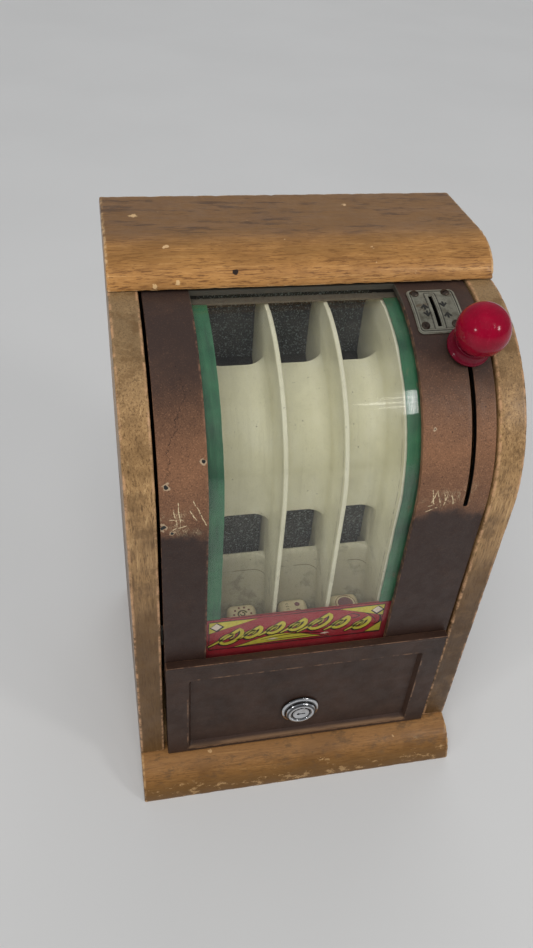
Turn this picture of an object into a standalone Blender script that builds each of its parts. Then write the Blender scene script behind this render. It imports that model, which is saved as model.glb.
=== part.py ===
# Countertop dice-lane gaming machine: wooden cabinet, curved metal front, side lever and cash drawer.
# Metres, +Z up. The front faces -Y. The origin is the centre of the underside of the base board.
import math

import bmesh
import bpy
from mathutils import Matrix, Vector

for old in list(bpy.data.objects):
    bpy.data.objects.remove(old, do_unlink=True)

MM = 0.001

# ---------------------------------------------------------------- driving dimensions
WIDTH = 216 * MM           # over the side panels, base and top
DEPTH = 194 * MM           # over the base board
HEIGHT = 338 * MM
SIDE_T = 16 * MM
BASE_T = 24 * MM
TOP_T = 18 * MM
ARC_R = 95 * MM            # radius of the curved front edge of the side panels
GAP = 0.3 * MM             # assembly gap between neighbouring pieces

HALF_W = WIDTH / 2
IN_W = HALF_W - SIDE_T     # inner face of a side panel
YB = DEPTH / 2             # rear plane
BASE_NOSE = 22 * MM        # the base stands out this far in front of the side panels
YF = -YB + BASE_NOSE       # front edge of the side panels
YC = YF + ARC_R            # arc centre, also the lever pivot
ZC = HEIGHT - TOP_T - ARC_R

PANEL_D = 1.5 * MM         # metal front stands this far behind the wood edge
PANEL_T = 3.0 * MM
PANEL_R = ARC_R - PANEL_D
WIN_X0 = -65 * MM
WIN_X1 = 49.5 * MM
WIN_Z0 = 108 * MM

GLASS_D = 4.8 * MM
GLASS_T = 2.4 * MM
MASK_D = 7.5 * MM
MASK_T = 0.8 * MM
SIGN_TOP = 146 * MM

FIN_D = 9.0 * MM           # front edges of the lane fins
FLOOR_D = 43.0 * MM        # lane floor behind the front plane
LANE_L = -56 * MM
LANE_R = 42 * MM
FIN_X = (-23 * MM, 10.3 * MM)
FIN_T = 3.0 * MM

DIE = 19 * MM
DIE_Y0 = 14.2 * MM         # front face of a die behind the front plane
DIE_Z = 110 * MM

KICK_Y = YF + 48 * MM      # kicker shaft
KICK_Z = 99 * MM
CRANK = 22 * MM
CRANK_A = math.radians(-47)
LEVER_X = 78.3 * MM
LEVER_REST = 57.0          # degrees above the horizontal
LEVER_TRAVEL = 50.0

COIN_X = 66 * MM
COIN_A0 = 65.2
COIN_A1 = 78.8

DRAWER_TOP = 119.2 * MM
DRAWER_FACE = -3.5 * MM
LOCK_X = -1.0 * MM
LOCK_Z = 54 * MM


# ---------------------------------------------------------------- materials
def material(name, colour, rough=0.5, metal=0.0, glass=0.0):
    mat = bpy.data.materials.new(name)
    mat.use_nodes = True
    bsdf = mat.node_tree.nodes["Principled BSDF"]
    bsdf.inputs["Base Color"].default_value = (colour[0], colour[1], colour[2], 1.0)
    bsdf.inputs["Roughness"].default_value = rough
    bsdf.inputs["Metallic"].default_value = metal
    bsdf.inputs["Transmission Weight"].default_value = glass
    mat.diffuse_color = (colour[0], colour[1], colour[2], 1.0)
    return mat


WOOD = material("wood_varnished", (0.33, 0.19, 0.075), 0.5)
WOOD_IN = material("wood_raw", (0.45, 0.32, 0.18), 0.75)
BROWN = material("brown_hammered_paint", (0.10, 0.055, 0.038), 0.4)
GLASS = material("window_glass", (0.92, 0.96, 0.94), 0.04, 0.0, 0.95)
GREEN = material("green_paint", (0.03, 0.15, 0.08), 0.55)
RED_SIGN = material("red_printed_card", (0.45, 0.03, 0.04), 0.5)
CREAM = material("cream_enamel", (0.62, 0.60, 0.42), 0.45)
PLATE = material("pressed_steel", (0.35, 0.34, 0.31), 0.45, 0.9)
STEEL = material("zinc_steel", (0.55, 0.54, 0.50), 0.38, 1.0)
SPRING = material("spring_steel", (0.40, 0.39, 0.38), 0.35, 1.0)
KNOB = material("red_phenolic", (0.40, 0.004, 0.03), 0.15)
BLACK = material("black_rubber_pad", (0.02, 0.02, 0.022), 0.85)
IVORY = material("ivory_dice", (0.75, 0.68, 0.50), 0.35)
CHROME = material("chrome_lock", (0.75, 0.76, 0.78), 0.12, 1.0)
TIN = material("tinned_steel", (0.50, 0.50, 0.48), 0.4, 1.0)
BRASS = material("brass_hinge", (0.60, 0.44, 0.18), 0.35, 1.0)


# ---------------------------------------------------------------- helpers
def finish(name, bm, mat, smooth=False):
    bmesh.ops.remove_doubles(bm, verts=bm.verts, dist=0.000002)
    bmesh.ops.recalc_face_normals(bm, faces=bm.faces)
    mesh = bpy.data.meshes.new(name)
    bm.to_mesh(mesh)
    bm.free()
    obj = bpy.data.objects.new(name, mesh)
    bpy.context.scene.collection.objects.link(obj)
    if mat is not None:
        obj.data.materials.append(mat)
    if smooth:
        shade(obj)
    return obj


def shade(obj, angle=35.0):
    for poly in obj.data.polygons:
        poly.use_smooth = True
    limit = math.radians(angle)
    bm = bmesh.new()
    bm.from_mesh(obj.data)
    for edge in bm.edges:
        if len(edge.link_faces) == 2 and edge.calc_face_angle(0.0) > limit:
            edge.smooth = False
    bm.to_mesh(obj.data)
    bm.free()


def prism_bm(points, x0, x1):
    """Closed prism: a polygon in the YZ plane drawn out along X."""
    bm = bmesh.new()
    first = [bm.verts.new((x0, p[0], p[1])) for p in points]
    last = [bm.verts.new((x1, p[0], p[1])) for p in points]
    bm.faces.new(first)
    bm.faces.new(list(reversed(last)))
    count = len(points)
    for i in range(count):
        j = (i + 1) % count
        bm.faces.new((first[i], first[j], last[j], last[i]))
    return bm


def prism(name, points, x0, x1, mat, smooth=False):
    return finish(name, prism_bm(points, x0, x1), mat, smooth)


def box_bm(x0, x1, y0, y1, z0, z1):
    return prism_bm([(y0, z0), (y1, z0), (y1, z1), (y0, z1)], x0, x1)


def box(name, x0, x1, y0, y1, z0, z1, mat):
    return finish(name, box_bm(x0, x1, y0, y1, z0, z1), mat)


def lathe(name, profile, segs, mat, matrix=None, loop=False, smooth=True):
    """Turned solid: profile of (radius, height), first point lowest; a loop profile makes a ring."""
    bm = bmesh.new()
    rings = []
    for radius, height in profile:
        if radius < 1e-7:
            rings.append([bm.verts.new((0.0, 0.0, height))])
        else:
            ring = []
            for i in range(segs):
                a = 2 * math.pi * i / segs
                ring.append(bm.verts.new((radius * math.cos(a), radius * math.sin(a), height)))
            rings.append(ring)
    pairs = list(zip(rings[:-1], rings[1:]))
    if loop:
        pairs.append((rings[-1], rings[0]))
    for low, high in pairs:
        for i in range(segs):
            j = (i + 1) % segs
            if len(low) == 1 and len(high) == 1:
                continue
            if len(low) == 1:
                bm.faces.new((low[0], high[j], high[i]))
            elif len(high) == 1:
                bm.faces.new((low[i], low[j], high[0]))
            else:
                bm.faces.new((low[i], low[j], high[j], high[i]))
    if not loop and len(rings[0]) > 1:
        bm.faces.new(list(reversed(rings[0])))
    if not loop and len(rings[-1]) > 1:
        bm.faces.new(rings[-1])
    if matrix is not None:
        bmesh.ops.transform(bm, matrix=matrix, verts=bm.verts)
    return finish(name, bm, mat, smooth)


def rod(name, radius, x0, x1, y, z, mat, segs=32):
    turn = Matrix.Translation((x0, y, z)) @ Matrix.Rotation(math.radians(90), 4, "Y")
    return lathe(name, [(radius, 0.0), (radius, x1 - x0)], segs, mat, turn)


def rod_y(name, radius, y0, y1, x, z, mat, segs=32):
    turn = Matrix.Translation((x, y0, z)) @ Matrix.Rotation(math.radians(-90), 4, "X")
    return lathe(name, [(radius, 0.0), (radius, y1 - y0)], segs, mat, turn)


def boolean(obj, other, operation="DIFFERENCE", keep=False):
    mod = obj.modifiers.new("bool", "BOOLEAN")
    mod.operation = operation
    mod.solver = "EXACT"
    mod.object = other
    graph = bpy.context.evaluated_depsgraph_get()
    mesh = bpy.data.meshes.new_from_object(obj.evaluated_get(graph))
    obj.modifiers.remove(mod)
    old = obj.data
    obj.data = mesh
    bpy.data.meshes.remove(old)
    mesh.name = obj.name
    if not keep:
        bpy.data.objects.remove(other, do_unlink=True)
    clean(obj)
    return obj


def clean(obj):
    bm = bmesh.new()
    bm.from_mesh(obj.data)
    bmesh.ops.remove_doubles(bm, verts=bm.verts, dist=0.000003)
    bmesh.ops.dissolve_degenerate(bm, dist=0.000003, edges=bm.edges)
    bmesh.ops.recalc_face_normals(bm, faces=bm.faces)
    bm.to_mesh(obj.data)
    bm.free()


def bevel_edges(obj, width, segments=2, angle=40.0):
    bm = bmesh.new()
    bm.from_mesh(obj.data)
    chosen = [e for e in bm.edges if len(e.link_faces) == 2 and e.calc_face_angle(0.0) > math.radians(angle)]
    bmesh.ops.bevel(bm, geom=chosen, offset=width, segments=segments, profile=0.5, affect="EDGES",
                    clamp_overlap=True)
    bmesh.ops.recalc_face_normals(bm, faces=bm.faces)
    bm.to_mesh(obj.data)
    bm.free()
    shade(obj)
    return obj


def arc_point(radius, degrees):
    a = math.radians(degrees)
    return (YC - radius * math.cos(a), ZC + radius * math.sin(a))


def front_path(offset, z_low, top_deg, segs=24):
    """The front line of the cabinet moved inwards: straight up, then round the arc."""
    pts = [(YF + offset, z_low), (YF + offset, ZC)]
    for i in range(1, segs + 1):
        pts.append(arc_point(ARC_R - offset, top_deg * i / segs))
    return pts


def shell(name, offset, thick, z_low, top_deg, x0, x1, mat, segs=24, back=0.0):
    outer = front_path(offset, z_low, top_deg, segs)
    inner = front_path(offset + thick, z_low, top_deg, segs)
    if back > 0.0:
        outer.append((outer[-1][0] + back, outer[-1][1]))
        inner.append((inner[-1][0] + back, inner[-1][1]))
    return prism(name, outer + list(reversed(inner)), x0, x1, mat, True)


def wedge(name, r0, r1, a0, a1, x0, x1, segs=12):
    pts = [arc_point(r1, a0 + (a1 - a0) * i / segs) for i in range(segs + 1)]
    pts += [arc_point(r0, a1 - (a1 - a0) * i / segs) for i in range(segs + 1)]
    return prism(name, pts, x0, x1, None)


def radial_matrix(x, radius, degrees):
    """Local +Z points outwards along the radius; local +X stays along the machine's width."""
    a = math.radians(degrees)
    out = Vector((0.0, -math.cos(a), math.sin(a)))
    side = Vector((1.0, 0.0, 0.0))
    third = out.cross(side)
    rot = Matrix((side, third, out)).transposed().to_4x4()
    y, z = arc_point(radius, degrees)
    return Matrix.Translation((x, y, z)) @ rot


def rounded_rect(x0, x1, s0, s1, r, segs=5):
    pts = []
    for cx, cs, start in ((x1 - r, s1 - r, 0), (x0 + r, s1 - r, 90), (x0 + r, s0 + r, 180), (x1 - r, s0 + r, 270)):
        for i in range(segs + 1):
            a = math.radians(start + 90 * i / segs)
            pts.append((cx + r * math.cos(a), cs + r * math.sin(a)))
    return pts


def flat_bm(outline, h0, h1):
    bm = bmesh.new()
    low = [bm.verts.new((p[0], p[1], h0)) for p in outline]
    high = [bm.verts.new((p[0], p[1], h1)) for p in outline]
    bm.faces.new(list(reversed(low)))
    bm.faces.new(high)
    count = len(outline)
    for i in range(count):
        j = (i + 1) % count
        bm.faces.new((low[i], low[j], high[j], high[i]))
    return bm


def bend_to_arc(obj, radius, s_lo, s_hi, steps):
    """Wrap a flat plate (x, s, h) on to the cylinder of the front arc."""
    bm = bmesh.new()
    bm.from_mesh(obj.data)
    for i in range(1, steps):
        s = s_lo + (s_hi - s_lo) * i / steps
        geom = bm.verts[:] + bm.edges[:] + bm.faces[:]
        bmesh.ops.bisect_plane(bm, geom=geom, dist=0.000001, plane_co=(0, s, 0), plane_no=(0, 1, 0))
    for v in bm.verts:
        a = v.co.y / radius
        r = radius + v.co.z
        v.co = Vector((v.co.x, YC - r * math.cos(a), ZC + r * math.sin(a)))
    bmesh.ops.recalc_face_normals(bm, faces=bm.faces)
    bm.to_mesh(obj.data)
    bm.free()


# ---------------------------------------------------------------- wooden cabinet
NOSE_A = 25 * MM
base_pts = [(YB, 0.0), (YB, BASE_T)]
for k in range(0, 17):
    t = math.radians(90 - 90 * k / 16)
    base_pts.append((YF + 3 * MM - NOSE_A * math.cos(t), BASE_T * math.sin(t)))
base = prism("base_board", base_pts, -HALF_W, HALF_W, WOOD, True)

top_pts = [(YB, HEIGHT - TOP_T), (YB, HEIGHT)]
TOP_FRONT = YF + 88.4 * MM
for k in range(0, 17):
    t = math.radians(90 - 90 * k / 16)
    top_pts.append((TOP_FRONT + 29 * MM * (1 - math.cos(t)), HEIGHT - TOP_T + TOP_T * math.sin(t)))
prism("top_board", top_pts, -HALF_W, HALF_W, WOOD, True)

for label, sx in (("left", -1), ("right", 1)):
    pts = front_path(0.0, BASE_T + GAP, 87.0, 32)
    pts.append((YC, HEIGHT - TOP_T - GAP))
    pts += [(YB, HEIGHT - TOP_T - GAP), (YB, BASE_T + GAP)]
    pts = [(p[0], min(p[1], HEIGHT - TOP_T - GAP)) for p in pts]
    a, b = sorted((sx * IN_W, sx * HALF_W))
    prism("side_panel_" + label, pts, a, b, WOOD, True)

# ---------------------------------------------------------------- curved metal front
HALF_PANEL = 91 * MM
front = shell("front_panel", PANEL_D, PANEL_T, 98 * MM, 90.0, -HALF_PANEL + 0.7 * MM, HALF_PANEL, BROWN, 40, 10 * MM)
win_pts = front_path(-6 * MM, WIN_Z0, 87.0, 16) + list(reversed(front_path(12 * MM, WIN_Z0, 87.0, 16)))
boolean(front, prism("cut_window", win_pts, WIN_X0, WIN_X1, None))
SLOT_HALF = 1.3 * MM
boolean(front, wedge("cut_lever_slot", ARC_R - 12 * MM, ARC_R + 4 * MM, 1.3, 63.0,
                     LEVER_X - SLOT_HALF, LEVER_X + SLOT_HALF))
boolean(front, wedge("cut_coin", ARC_R - 12 * MM, ARC_R + 4 * MM, COIN_A0 - 0.4, COIN_A1 + 0.4,
                     COIN_X - 1.5 * MM, COIN_X + 1.5 * MM, 4))
SCREWS = ((57.6 * MM, 79.8), (75.4 * MM, 79.9), (57.8 * MM, 65.6), (75.2 * MM, 65.9))
for sx, sa in SCREWS:
    m = radial_matrix(sx, ARC_R - 8 * MM, sa)
    boolean(front, lathe("cut_screw", [(1.5 * MM, 0.0), (1.5 * MM, 12 * MM)], 12, None, m))
shade(front)

# ---------------------------------------------------------------- window, masks, sign
shell("window_glass", GLASS_D, GLASS_T, WIN_Z0 + 0.5 * MM, 89.0, -71 * MM, 55.5 * MM, GLASS, 40)
shell("window_mask_left", MASK_D, MASK_T, SIGN_TOP + GAP, 88.0, -71 * MM, -55.6 * MM, GREEN, 32)
shell("window_mask_right", MASK_D, MASK_T, SIGN_TOP + GAP, 88.0, 42.4 * MM, 55.5 * MM, GREEN, 32)
box("sign_strip", -71 * MM, 55.5 * MM, YF + MASK_D, YF + MASK_D + MASK_T, WIN_Z0 + 0.5 * MM, SIGN_TOP, RED_SIGN)

# ---------------------------------------------------------------- coin plate with its screws
PL_R = PANEL_R + 0.15 * MM
s_lo = math.radians(62.6) * PL_R
s_hi = math.radians(81.9) * PL_R
plate = finish("coin_plate", flat_bm(rounded_rect(53.2 * MM, 81.0 * MM, s_lo, s_hi, 3.2 * MM), 0.0, 1.1 * MM), PLATE)
groove = finish("cut_a", flat_bm(rounded_rect(54.6 * MM, 79.6 * MM, s_lo + 1.4 * MM, s_hi - 1.4 * MM, 2.4 * MM),
                                 0.75 * MM, 2 * MM), None)
island = finish("cut_b", flat_bm(rounded_rect(55.2 * MM, 79.0 * MM, s_lo + 2.0 * MM, s_hi - 2.0 * MM, 2.0 * MM),
                                 0.0, 3 * MM), None)
boolean(groove, island)
boolean(plate, groove)
c0 = math.radians(COIN_A0) * PL_R
c1 = math.radians(COIN_A1) * PL_R
boolean(plate, finish("cut_c", flat_bm(rounded_rect(COIN_X - 1.25 * MM, COIN_X + 1.25 * MM, c0, c1, 0.5 * MM, 2),
                                       -1 * MM, 3 * MM), None))
for sx, sa in SCREWS:
    spot = Matrix.Translation((sx, math.radians(sa) * PL_R, -1 * MM))
    boolean(plate, lathe("cut_d", [(1.5 * MM, 0.0), (1.5 * MM, 4 * MM)], 16, None, spot))
bend_to_arc(plate, PL_R, s_lo, s_hi, 10)
shade(plate)

for n, (sx, sa) in enumerate(SCREWS):
    m = radial_matrix(sx, PL_R, sa)
    prof = [(0.0, -6 * MM), (1.2 * MM, -5.4 * MM), (1.2 * MM, 1.25 * MM), (2.4 * MM, 1.25 * MM),
            (2.35 * MM, 1.7 * MM), (1.7 * MM, 2.2 * MM), (0.0, 2.4 * MM)]
    screw = lathe("coin_plate_screw_%d" % (n + 1), prof, 20, STEEL, m)
    notch = finish("cut", box_bm(-3 * MM, 3 * MM, -0.3 * MM, 0.3 * MM, 1.75 * MM, 3 * MM), None)
    notch.data.transform(m @ Matrix.Rotation(math.radians(40 * n - 20), 4, "Z"))
    boolean(screw, notch)
    shade(screw)

# ---------------------------------------------------------------- coin chute down to the drawer
TUBE_Y0 = YF + 54.3 * MM
TUBE_Y1 = YF + 79.9 * MM
TUBE_Z0 = 84 * MM


def under_arc(y, radius):
    return ZC + math.sqrt(radius * radius - (YC - y) ** 2)


def tube_pts(inset, grow):
    y0 = TUBE_Y0 + inset
    y1 = TUBE_Y1 - inset
    pts = [(y0, TUBE_Z0 - grow), (y1, TUBE_Z0 - grow)]
    for i in range(7):
        y = y1 + (y0 - y1) * i / 6
        pts.append((y, under_arc(y, PANEL_R - PANEL_T - 0.6 * MM) + grow))
    return pts


tube = prism("coin_chute", tube_pts(0.0, 0.0), COIN_X - 2.9 * MM, COIN_X + 2.9 * MM, TIN)
boolean(tube, prism("cut", tube_pts(1.2 * MM, 5 * MM), COIN_X - 1.9 * MM, COIN_X + 1.9 * MM, None))

# ---------------------------------------------------------------- lever and its pivot
bracket_pts = []
for k in range(40):
    a = 2 * math.pi * k / 40
    cy = 20 * MM if math.cos(a) > 0 else -20 * MM
    bracket_pts.append((YC + cy + 14 * MM * math.cos(a), ZC + 14 * MM * math.sin(a)))
bracket = prism("lever_bracket", bracket_pts, 88.7 * MM, IN_W - GAP, STEEL)
boolean(bracket, rod("pin", 4 * MM, 71 * MM, 89.5 * MM, YC, ZC, None), "UNION")
for dy in (-26 * MM, 26 * MM):
    boolean(bracket, rod("cut", 2 * MM, 85 * MM, 95 * MM, YC + dy, ZC, None, 16))
shade(bracket)

arm_a = math.radians(LEVER_REST)
BAR_X0 = LEVER_X - 0.9 * MM
BAR_X1 = LEVER_X + 0.9 * MM


def capsule(y0, z0, y1, z1, r, segs=10):
    """Outline of a bar with round ends between two points in the YZ plane."""
    ang = math.atan2(z1 - z0, y1 - y0)
    pts = []
    for i in range(segs + 1):
        a = ang - math.pi / 2 + math.pi * i / segs
        pts.append((y1 + r * math.cos(a), z1 + r * math.sin(a)))
    for i in range(segs + 1):
        a = ang + math.pi / 2 + math.pi * i / segs
        pts.append((y0 + r * math.cos(a), z0 + r * math.sin(a)))
    return pts


bar_end = arc_point(PANEL_R + 1.2 * MM, LEVER_REST)
ux = math.sin(arm_a) * 4 * MM
uz = math.cos(arm_a) * 4 * MM
arm_pts = [(YC - ux, ZC - uz), (YC + ux, ZC + uz), (bar_end[0] + ux, bar_end[1] + uz), (bar_end[0] - ux, bar_end[1] - uz)]
lever = prism("lever_arm", arm_pts, BAR_X0, BAR_X1, STEEL)
pin_y = YC + CRANK * math.cos(CRANK_A)
pin_z = ZC + CRANK * math.sin(CRANK_A)
boolean(lever, prism("crank", capsule(YC, ZC, pin_y, pin_z, 5 * MM), BAR_X0, BAR_X1, None), "UNION")
boolean(lever, rod("hub", 8 * MM, 75 * MM, 84.8 * MM, YC, ZC, None), "UNION")
boolean(lever, rod("pin", 2.5 * MM, 77.5 * MM, 87 * MM, pin_y, pin_z, None, 24), "UNION")
stud = radial_matrix(LEVER_X, PANEL_R + 0.6 * MM, LEVER_REST)
boolean(lever, lathe("stud", [(2.0 * MM, 0.0), (2.0 * MM, 19 * MM)], 20, None, stud), "UNION")
boolean(lever, rod("cut", 4.3 * MM, 70 * MM, 90 * MM, YC, ZC, None))
shade(lever)

seat = radial_matrix(LEVER_X, PANEL_R + 1.7 * MM, LEVER_REST)
collar_prof = [(2.3 * MM, 0.0), (11.2 * MM, 0.0), (12.0 * MM, 0.5 * MM), (12.1 * MM, 1.3 * MM), (11.7 * MM, 2.1 * MM),
               (10.9 * MM, 2.7 * MM), (10.2 * MM, 4.0 * MM), (9.7 * MM, 5.6 * MM), (9.5 * MM, 7.4 * MM),
               (2.3 * MM, 7.4 * MM)]
lathe("lever_collar", collar_prof, 40, KNOB, seat, True)
BALL_R = 14.2 * MM
BALL_H = 20 * MM
ball_prof = [(2.3 * MM, 7.7 * MM)]
low_a = math.asin((7.7 * MM - BALL_H) / BALL_R)
for k in range(0, 19):
    a = low_a + (math.pi / 2 - low_a) * k / 18
    ball_prof.append((max(BALL_R * math.cos(a), 0.0), BALL_H + BALL_R * math.sin(a)))
ball_prof[-1] = (0.0, BALL_H + BALL_R)
ball_prof = [(0.0, 18.4 * MM), (2.3 * MM, 18.4 * MM)] + ball_prof
lathe("lever_knob", ball_prof, 48, KNOB, seat)

nut_pts = []
for k in range(6):
    a = math.pi / 3 * k
    nut_pts.append((YC + 6.4 * MM * math.cos(a), ZC + 6.4 * MM * math.sin(a)))
nut = prism("pivot_nut", nut_pts, 71.3 * MM, 74.6 * MM, STEEL)
boolean(nut, rod("cut", 4.3 * MM, 70 * MM, 76 * MM, YC, ZC, None))


def coil(name, radius, wire, x0, x1, turns, y, z, start, legs, mat, per_turn=20, sides=8):
    """Torsion spring: a coil round an X axis with a straight leg at each end."""
    path = []
    count = int(turns * per_turn)
    for i in range(count + 1):
        a = start + 2 * math.pi * turns * i / count
        path.append(Vector((x0 + (x1 - x0) * i / count, y + radius * math.cos(a), z + radius * math.sin(a))))
    tangent0 = ((path[0] - path[1]) * Vector((0, 1, 1))).normalized()
    tangent1 = ((path[-1] - path[-2]) * Vector((0, 1, 1))).normalized()
    path.insert(0, path[0] + tangent0 * legs[0])
    path.append(path[-1] + tangent1 * legs[1])
    bm = bmesh.new()
    rings = []
    axis = Vector((1, 0, 0))
    for i, p in enumerate(path):
        before = path[max(i - 1, 0)]
        after = path[min(i + 1, len(path) - 1)]
        t = (after - before).normalized()
        side = axis.cross(t).normalized()
        up = t.cross(side).normalized()
        ring = []
        for k in range(sides):
            b = 2 * math.pi * k / sides
            ring.append(bm.verts.new(p + side * wire * math.cos(b) + up * wire * math.sin(b)))
        rings.append(ring)
    for low, high in zip(rings[:-1], rings[1:]):
        for k in range(sides):
            m = (k + 1) % sides
            bm.faces.new((low[k], low[m], high[m], high[k]))
    bm.faces.new(rings[0])
    bm.faces.new(list(reversed(rings[-1])))
    return finish(name, bm, mat, True)


coil("lever_spring", 5.6 * MM, 0.55 * MM, 85.7 * MM, 87.9 * MM, 1.5, YC, ZC, math.radians(80), (15 * MM, 13 * MM), SPRING)

# ---------------------------------------------------------------- kicker, link, bearings
crank_y = KICK_Y + CRANK * math.cos(CRANK_A)
crank_z = KICK_Z + CRANK * math.sin(CRANK_A)
kicker = rod("kicker", 4 * MM, -90 * MM, 90 * MM, KICK_Y, KICK_Z, STEEL)
lanes = ((LANE_L, FIN_X[0] - FIN_T / 2), (FIN_X[0] + FIN_T / 2, FIN_X[1] - FIN_T / 2), (FIN_X[1] + FIN_T / 2, LANE_R))
for x0, x1 in lanes:
    mid = (x0 + x1) / 2
    paddle = [(YF + 19.5 * MM, DIE_Z - 0.4 * MM), (YF + 19.5 * MM, DIE_Z - 2.0 * MM), (YF + 40 * MM, DIE_Z - 2.0 * MM),
              (YF + 45 * MM, KICK_Z), (KICK_Y + 3 * MM, KICK_Z), (YF + 50 * MM, DIE_Z - 4 * MM),
              (YF + 44 * MM, DIE_Z - 0.4 * MM)]
    boolean(kicker, prism("paddle", paddle, mid - 12.5 * MM, mid + 12.5 * MM, None), "UNION")
boolean(kicker, prism("crank", capsule(KICK_Y, KICK_Z, crank_y, crank_z, 5 * MM), BAR_X0, BAR_X1, None), "UNION")
boolean(kicker, rod("pin", 2.5 * MM, 77.5 * MM, 86 * MM, crank_y, crank_z, None, 24), "UNION")
shade(kicker)

link = prism("link_rod", capsule(crank_y, crank_z, pin_y, pin_z, 4.6 * MM), 81 * MM, 84 * MM, STEEL)
# The link is narrow between its two eyes so that it passes the lever hub.
dx = pin_y - crank_y
dz = pin_z - crank_z
reach = math.hypot(dx, dz)
n_y = -dz / reach
n_z = dx / reach
for sign in (-1, 1):
    strip = []
    for f, off in ((0.06, 4.8), (0.94, 4.8), (0.92, 3.0), (0.08, 3.0)):
        strip.append((crank_y + dx * f + sign * n_y * off * MM, crank_z + dz * f + sign * n_z * off * MM))
    boolean(link, prism("cut", strip, 80 * MM, 85 * MM, None))
for py, pz in ((crank_y, crank_z), (pin_y, pin_z)):
    boolean(link, rod("cut", 2.8 * MM, 80 * MM, 85 * MM, py, pz, None, 24))
shade(link)

for label, x0, x1 in (("left", -IN_W + GAP, -86.5 * MM), ("right", 87.3 * MM, IN_W - GAP)):
    block = box("kicker_bearing_" + label, x0, x1, KICK_Y - 10 * MM, KICK_Y + 10 * MM, KICK_Z - 10 * MM,
                KICK_Z + 10 * MM, TIN)
    boolean(block, rod("cut", 4.3 * MM, x0 - 2 * MM, x1 + 2 * MM, KICK_Y, KICK_Z, None))
    shade(block)

# ---------------------------------------------------------------- dice lanes: fins, floors and pads
BACK_D = 112 * MM
tip_in = 7 * MM


def fin_profile():
    pts = front_path(FIN_D, 113 * MM, 80.0, 24)
    y_end, z_end = arc_point(ARC_R - FIN_D, 80.0)
    for i in range(1, 7):
        a = math.radians(80 + (100 - 80) * i / 6)
        pts.append((YC - (ARC_R - FIN_D) * math.cos(a), min(ZC + (ARC_R - FIN_D) * math.sin(a), 310.6 * MM)))
    pts += [(YF + BACK_D, 309.5 * MM), (YF + BACK_D, 262 * MM), (YF + 57 * MM, 214 * MM), (YF + 57 * MM, 113 * MM)]
    return pts


def lane_section(x0, x1, depth, thick, fillet, segs=6):
    """U section of one lane as (x, depth) points, with rounded corners against the fins."""
    pts = [(x0, depth + thick), (x1, depth + thick), (x1, depth - fillet)]
    for i in range(1, segs + 1):
        a = math.pi / 2 * i / segs
        pts.append((x1 - fillet + fillet * math.cos(a), depth - fillet + fillet * math.sin(a)))
    for i in range(0, segs):
        a = math.pi / 2 * i / segs
        pts.append((x0 + fillet - fillet * math.sin(a), depth - fillet + fillet * math.cos(a)))
    pts.append((x0, depth - fillet))
    return pts


def swept_lane(name, x0, x1, stations, fillet):
    """Stations are (kind, value, depth): a height on the straight part or an angle on the arc."""
    bm = bmesh.new()
    rings = []
    for kind, value, depth in stations:
        ring = []
        for x, d in lane_section(x0, x1, depth, 1.6 * MM, fillet):
            if kind == "z":
                ring.append(bm.verts.new((x, YF + d, value)))
            else:
                y, z = arc_point(ARC_R - d, value)
                ring.append(bm.verts.new((x, y, z)))
        rings.append(ring)
    for low, high in zip(rings[:-1], rings[1:]):
        for k in range(len(low)):
            m = (k + 1) % len(low)
            bm.faces.new((low[k], low[m], high[m], high[k]))
    bm.faces.new(rings[0])
    bm.faces.new(list(reversed(rings[-1])))
    return finish(name, bm, None)


chute = prism("dice_chute", fin_profile(), FIN_X[0] - FIN_T / 2, FIN_X[0] + FIN_T / 2, CREAM)
boolean(chute, prism("fin", fin_profile(), FIN_X[1] - FIN_T / 2, FIN_X[1] + FIN_T / 2, None), "UNION")
boolean(chute, prism("fin", fin_profile(), LANE_L - 2 * MM, LANE_L, None), "UNION")
boolean(chute, prism("fin", fin_profile(), LANE_R, LANE_R + 2 * MM, None), "UNION")
upper = [("z", 196 * MM, FLOOR_D), ("z", ZC, FLOOR_D)]
upper += [("a", 76.0 * i / 12, FLOOR_D) for i in range(1, 13)]
lower = [("z", 113.5 * MM, 34 * MM), ("z", 129 * MM, 34.6 * MM), ("z", 163 * MM, FLOOR_D)]
for x0, x1 in lanes:
    over = 0.7 * MM
    boolean(chute, swept_lane("floor", x0 - over, x1 + over, upper, 8.7 * MM), "UNION")
    boolean(chute, swept_lane("floor", x0 - over, x1 + over, lower, 6.7 * MM), "UNION")
shade(chute)

for n, (x0, x1) in enumerate(lanes):
    box("bumper_pad_%d" % (n + 1), x0 + GAP, x1 - GAP, YF + 53.5 * MM, YF + 57.0 * MM, 158 * MM, 204 * MM, BLACK)
box("bumper_board", LANE_L - 2 * MM, LANE_R + 2 * MM, YF + 57.3 * MM, YF + 61.3 * MM, 150 * MM, 208 * MM, WOOD_IN)
box("top_bumper", LANE_L - 2 * MM, LANE_R + 2 * MM, YF + 112.3 * MM, YF + 116 * MM, 262 * MM, 316 * MM, BLACK)
box("mechanism_board", -IN_W + GAP, 70 * MM, YF + 116.3 * MM, YF + 122.3 * MM, 86 * MM, 318 * MM, WOOD_IN)
# A spacer carries the bumper board from the mechanism board, behind the lanes.
box("board_spacer", -30 * MM, 16 * MM, YF + 61.6 * MM, YF + 116.0 * MM, 164 * MM, 180 * MM, WOOD_IN)

# ---------------------------------------------------------------- dice
for n, (x0, x1) in enumerate(lanes):
    mid = (x0 + x1) / 2 + (1.2 * MM, 0.4 * MM, 1.0 * MM)[n]
    die = box("die_%d" % (n + 1), mid - DIE / 2, mid + DIE / 2, YF + DIE_Y0, YF + DIE_Y0 + DIE, DIE_Z, DIE_Z + DIE, IVORY)
    bevel_edges(die, 2.2 * MM, 3)

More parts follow.
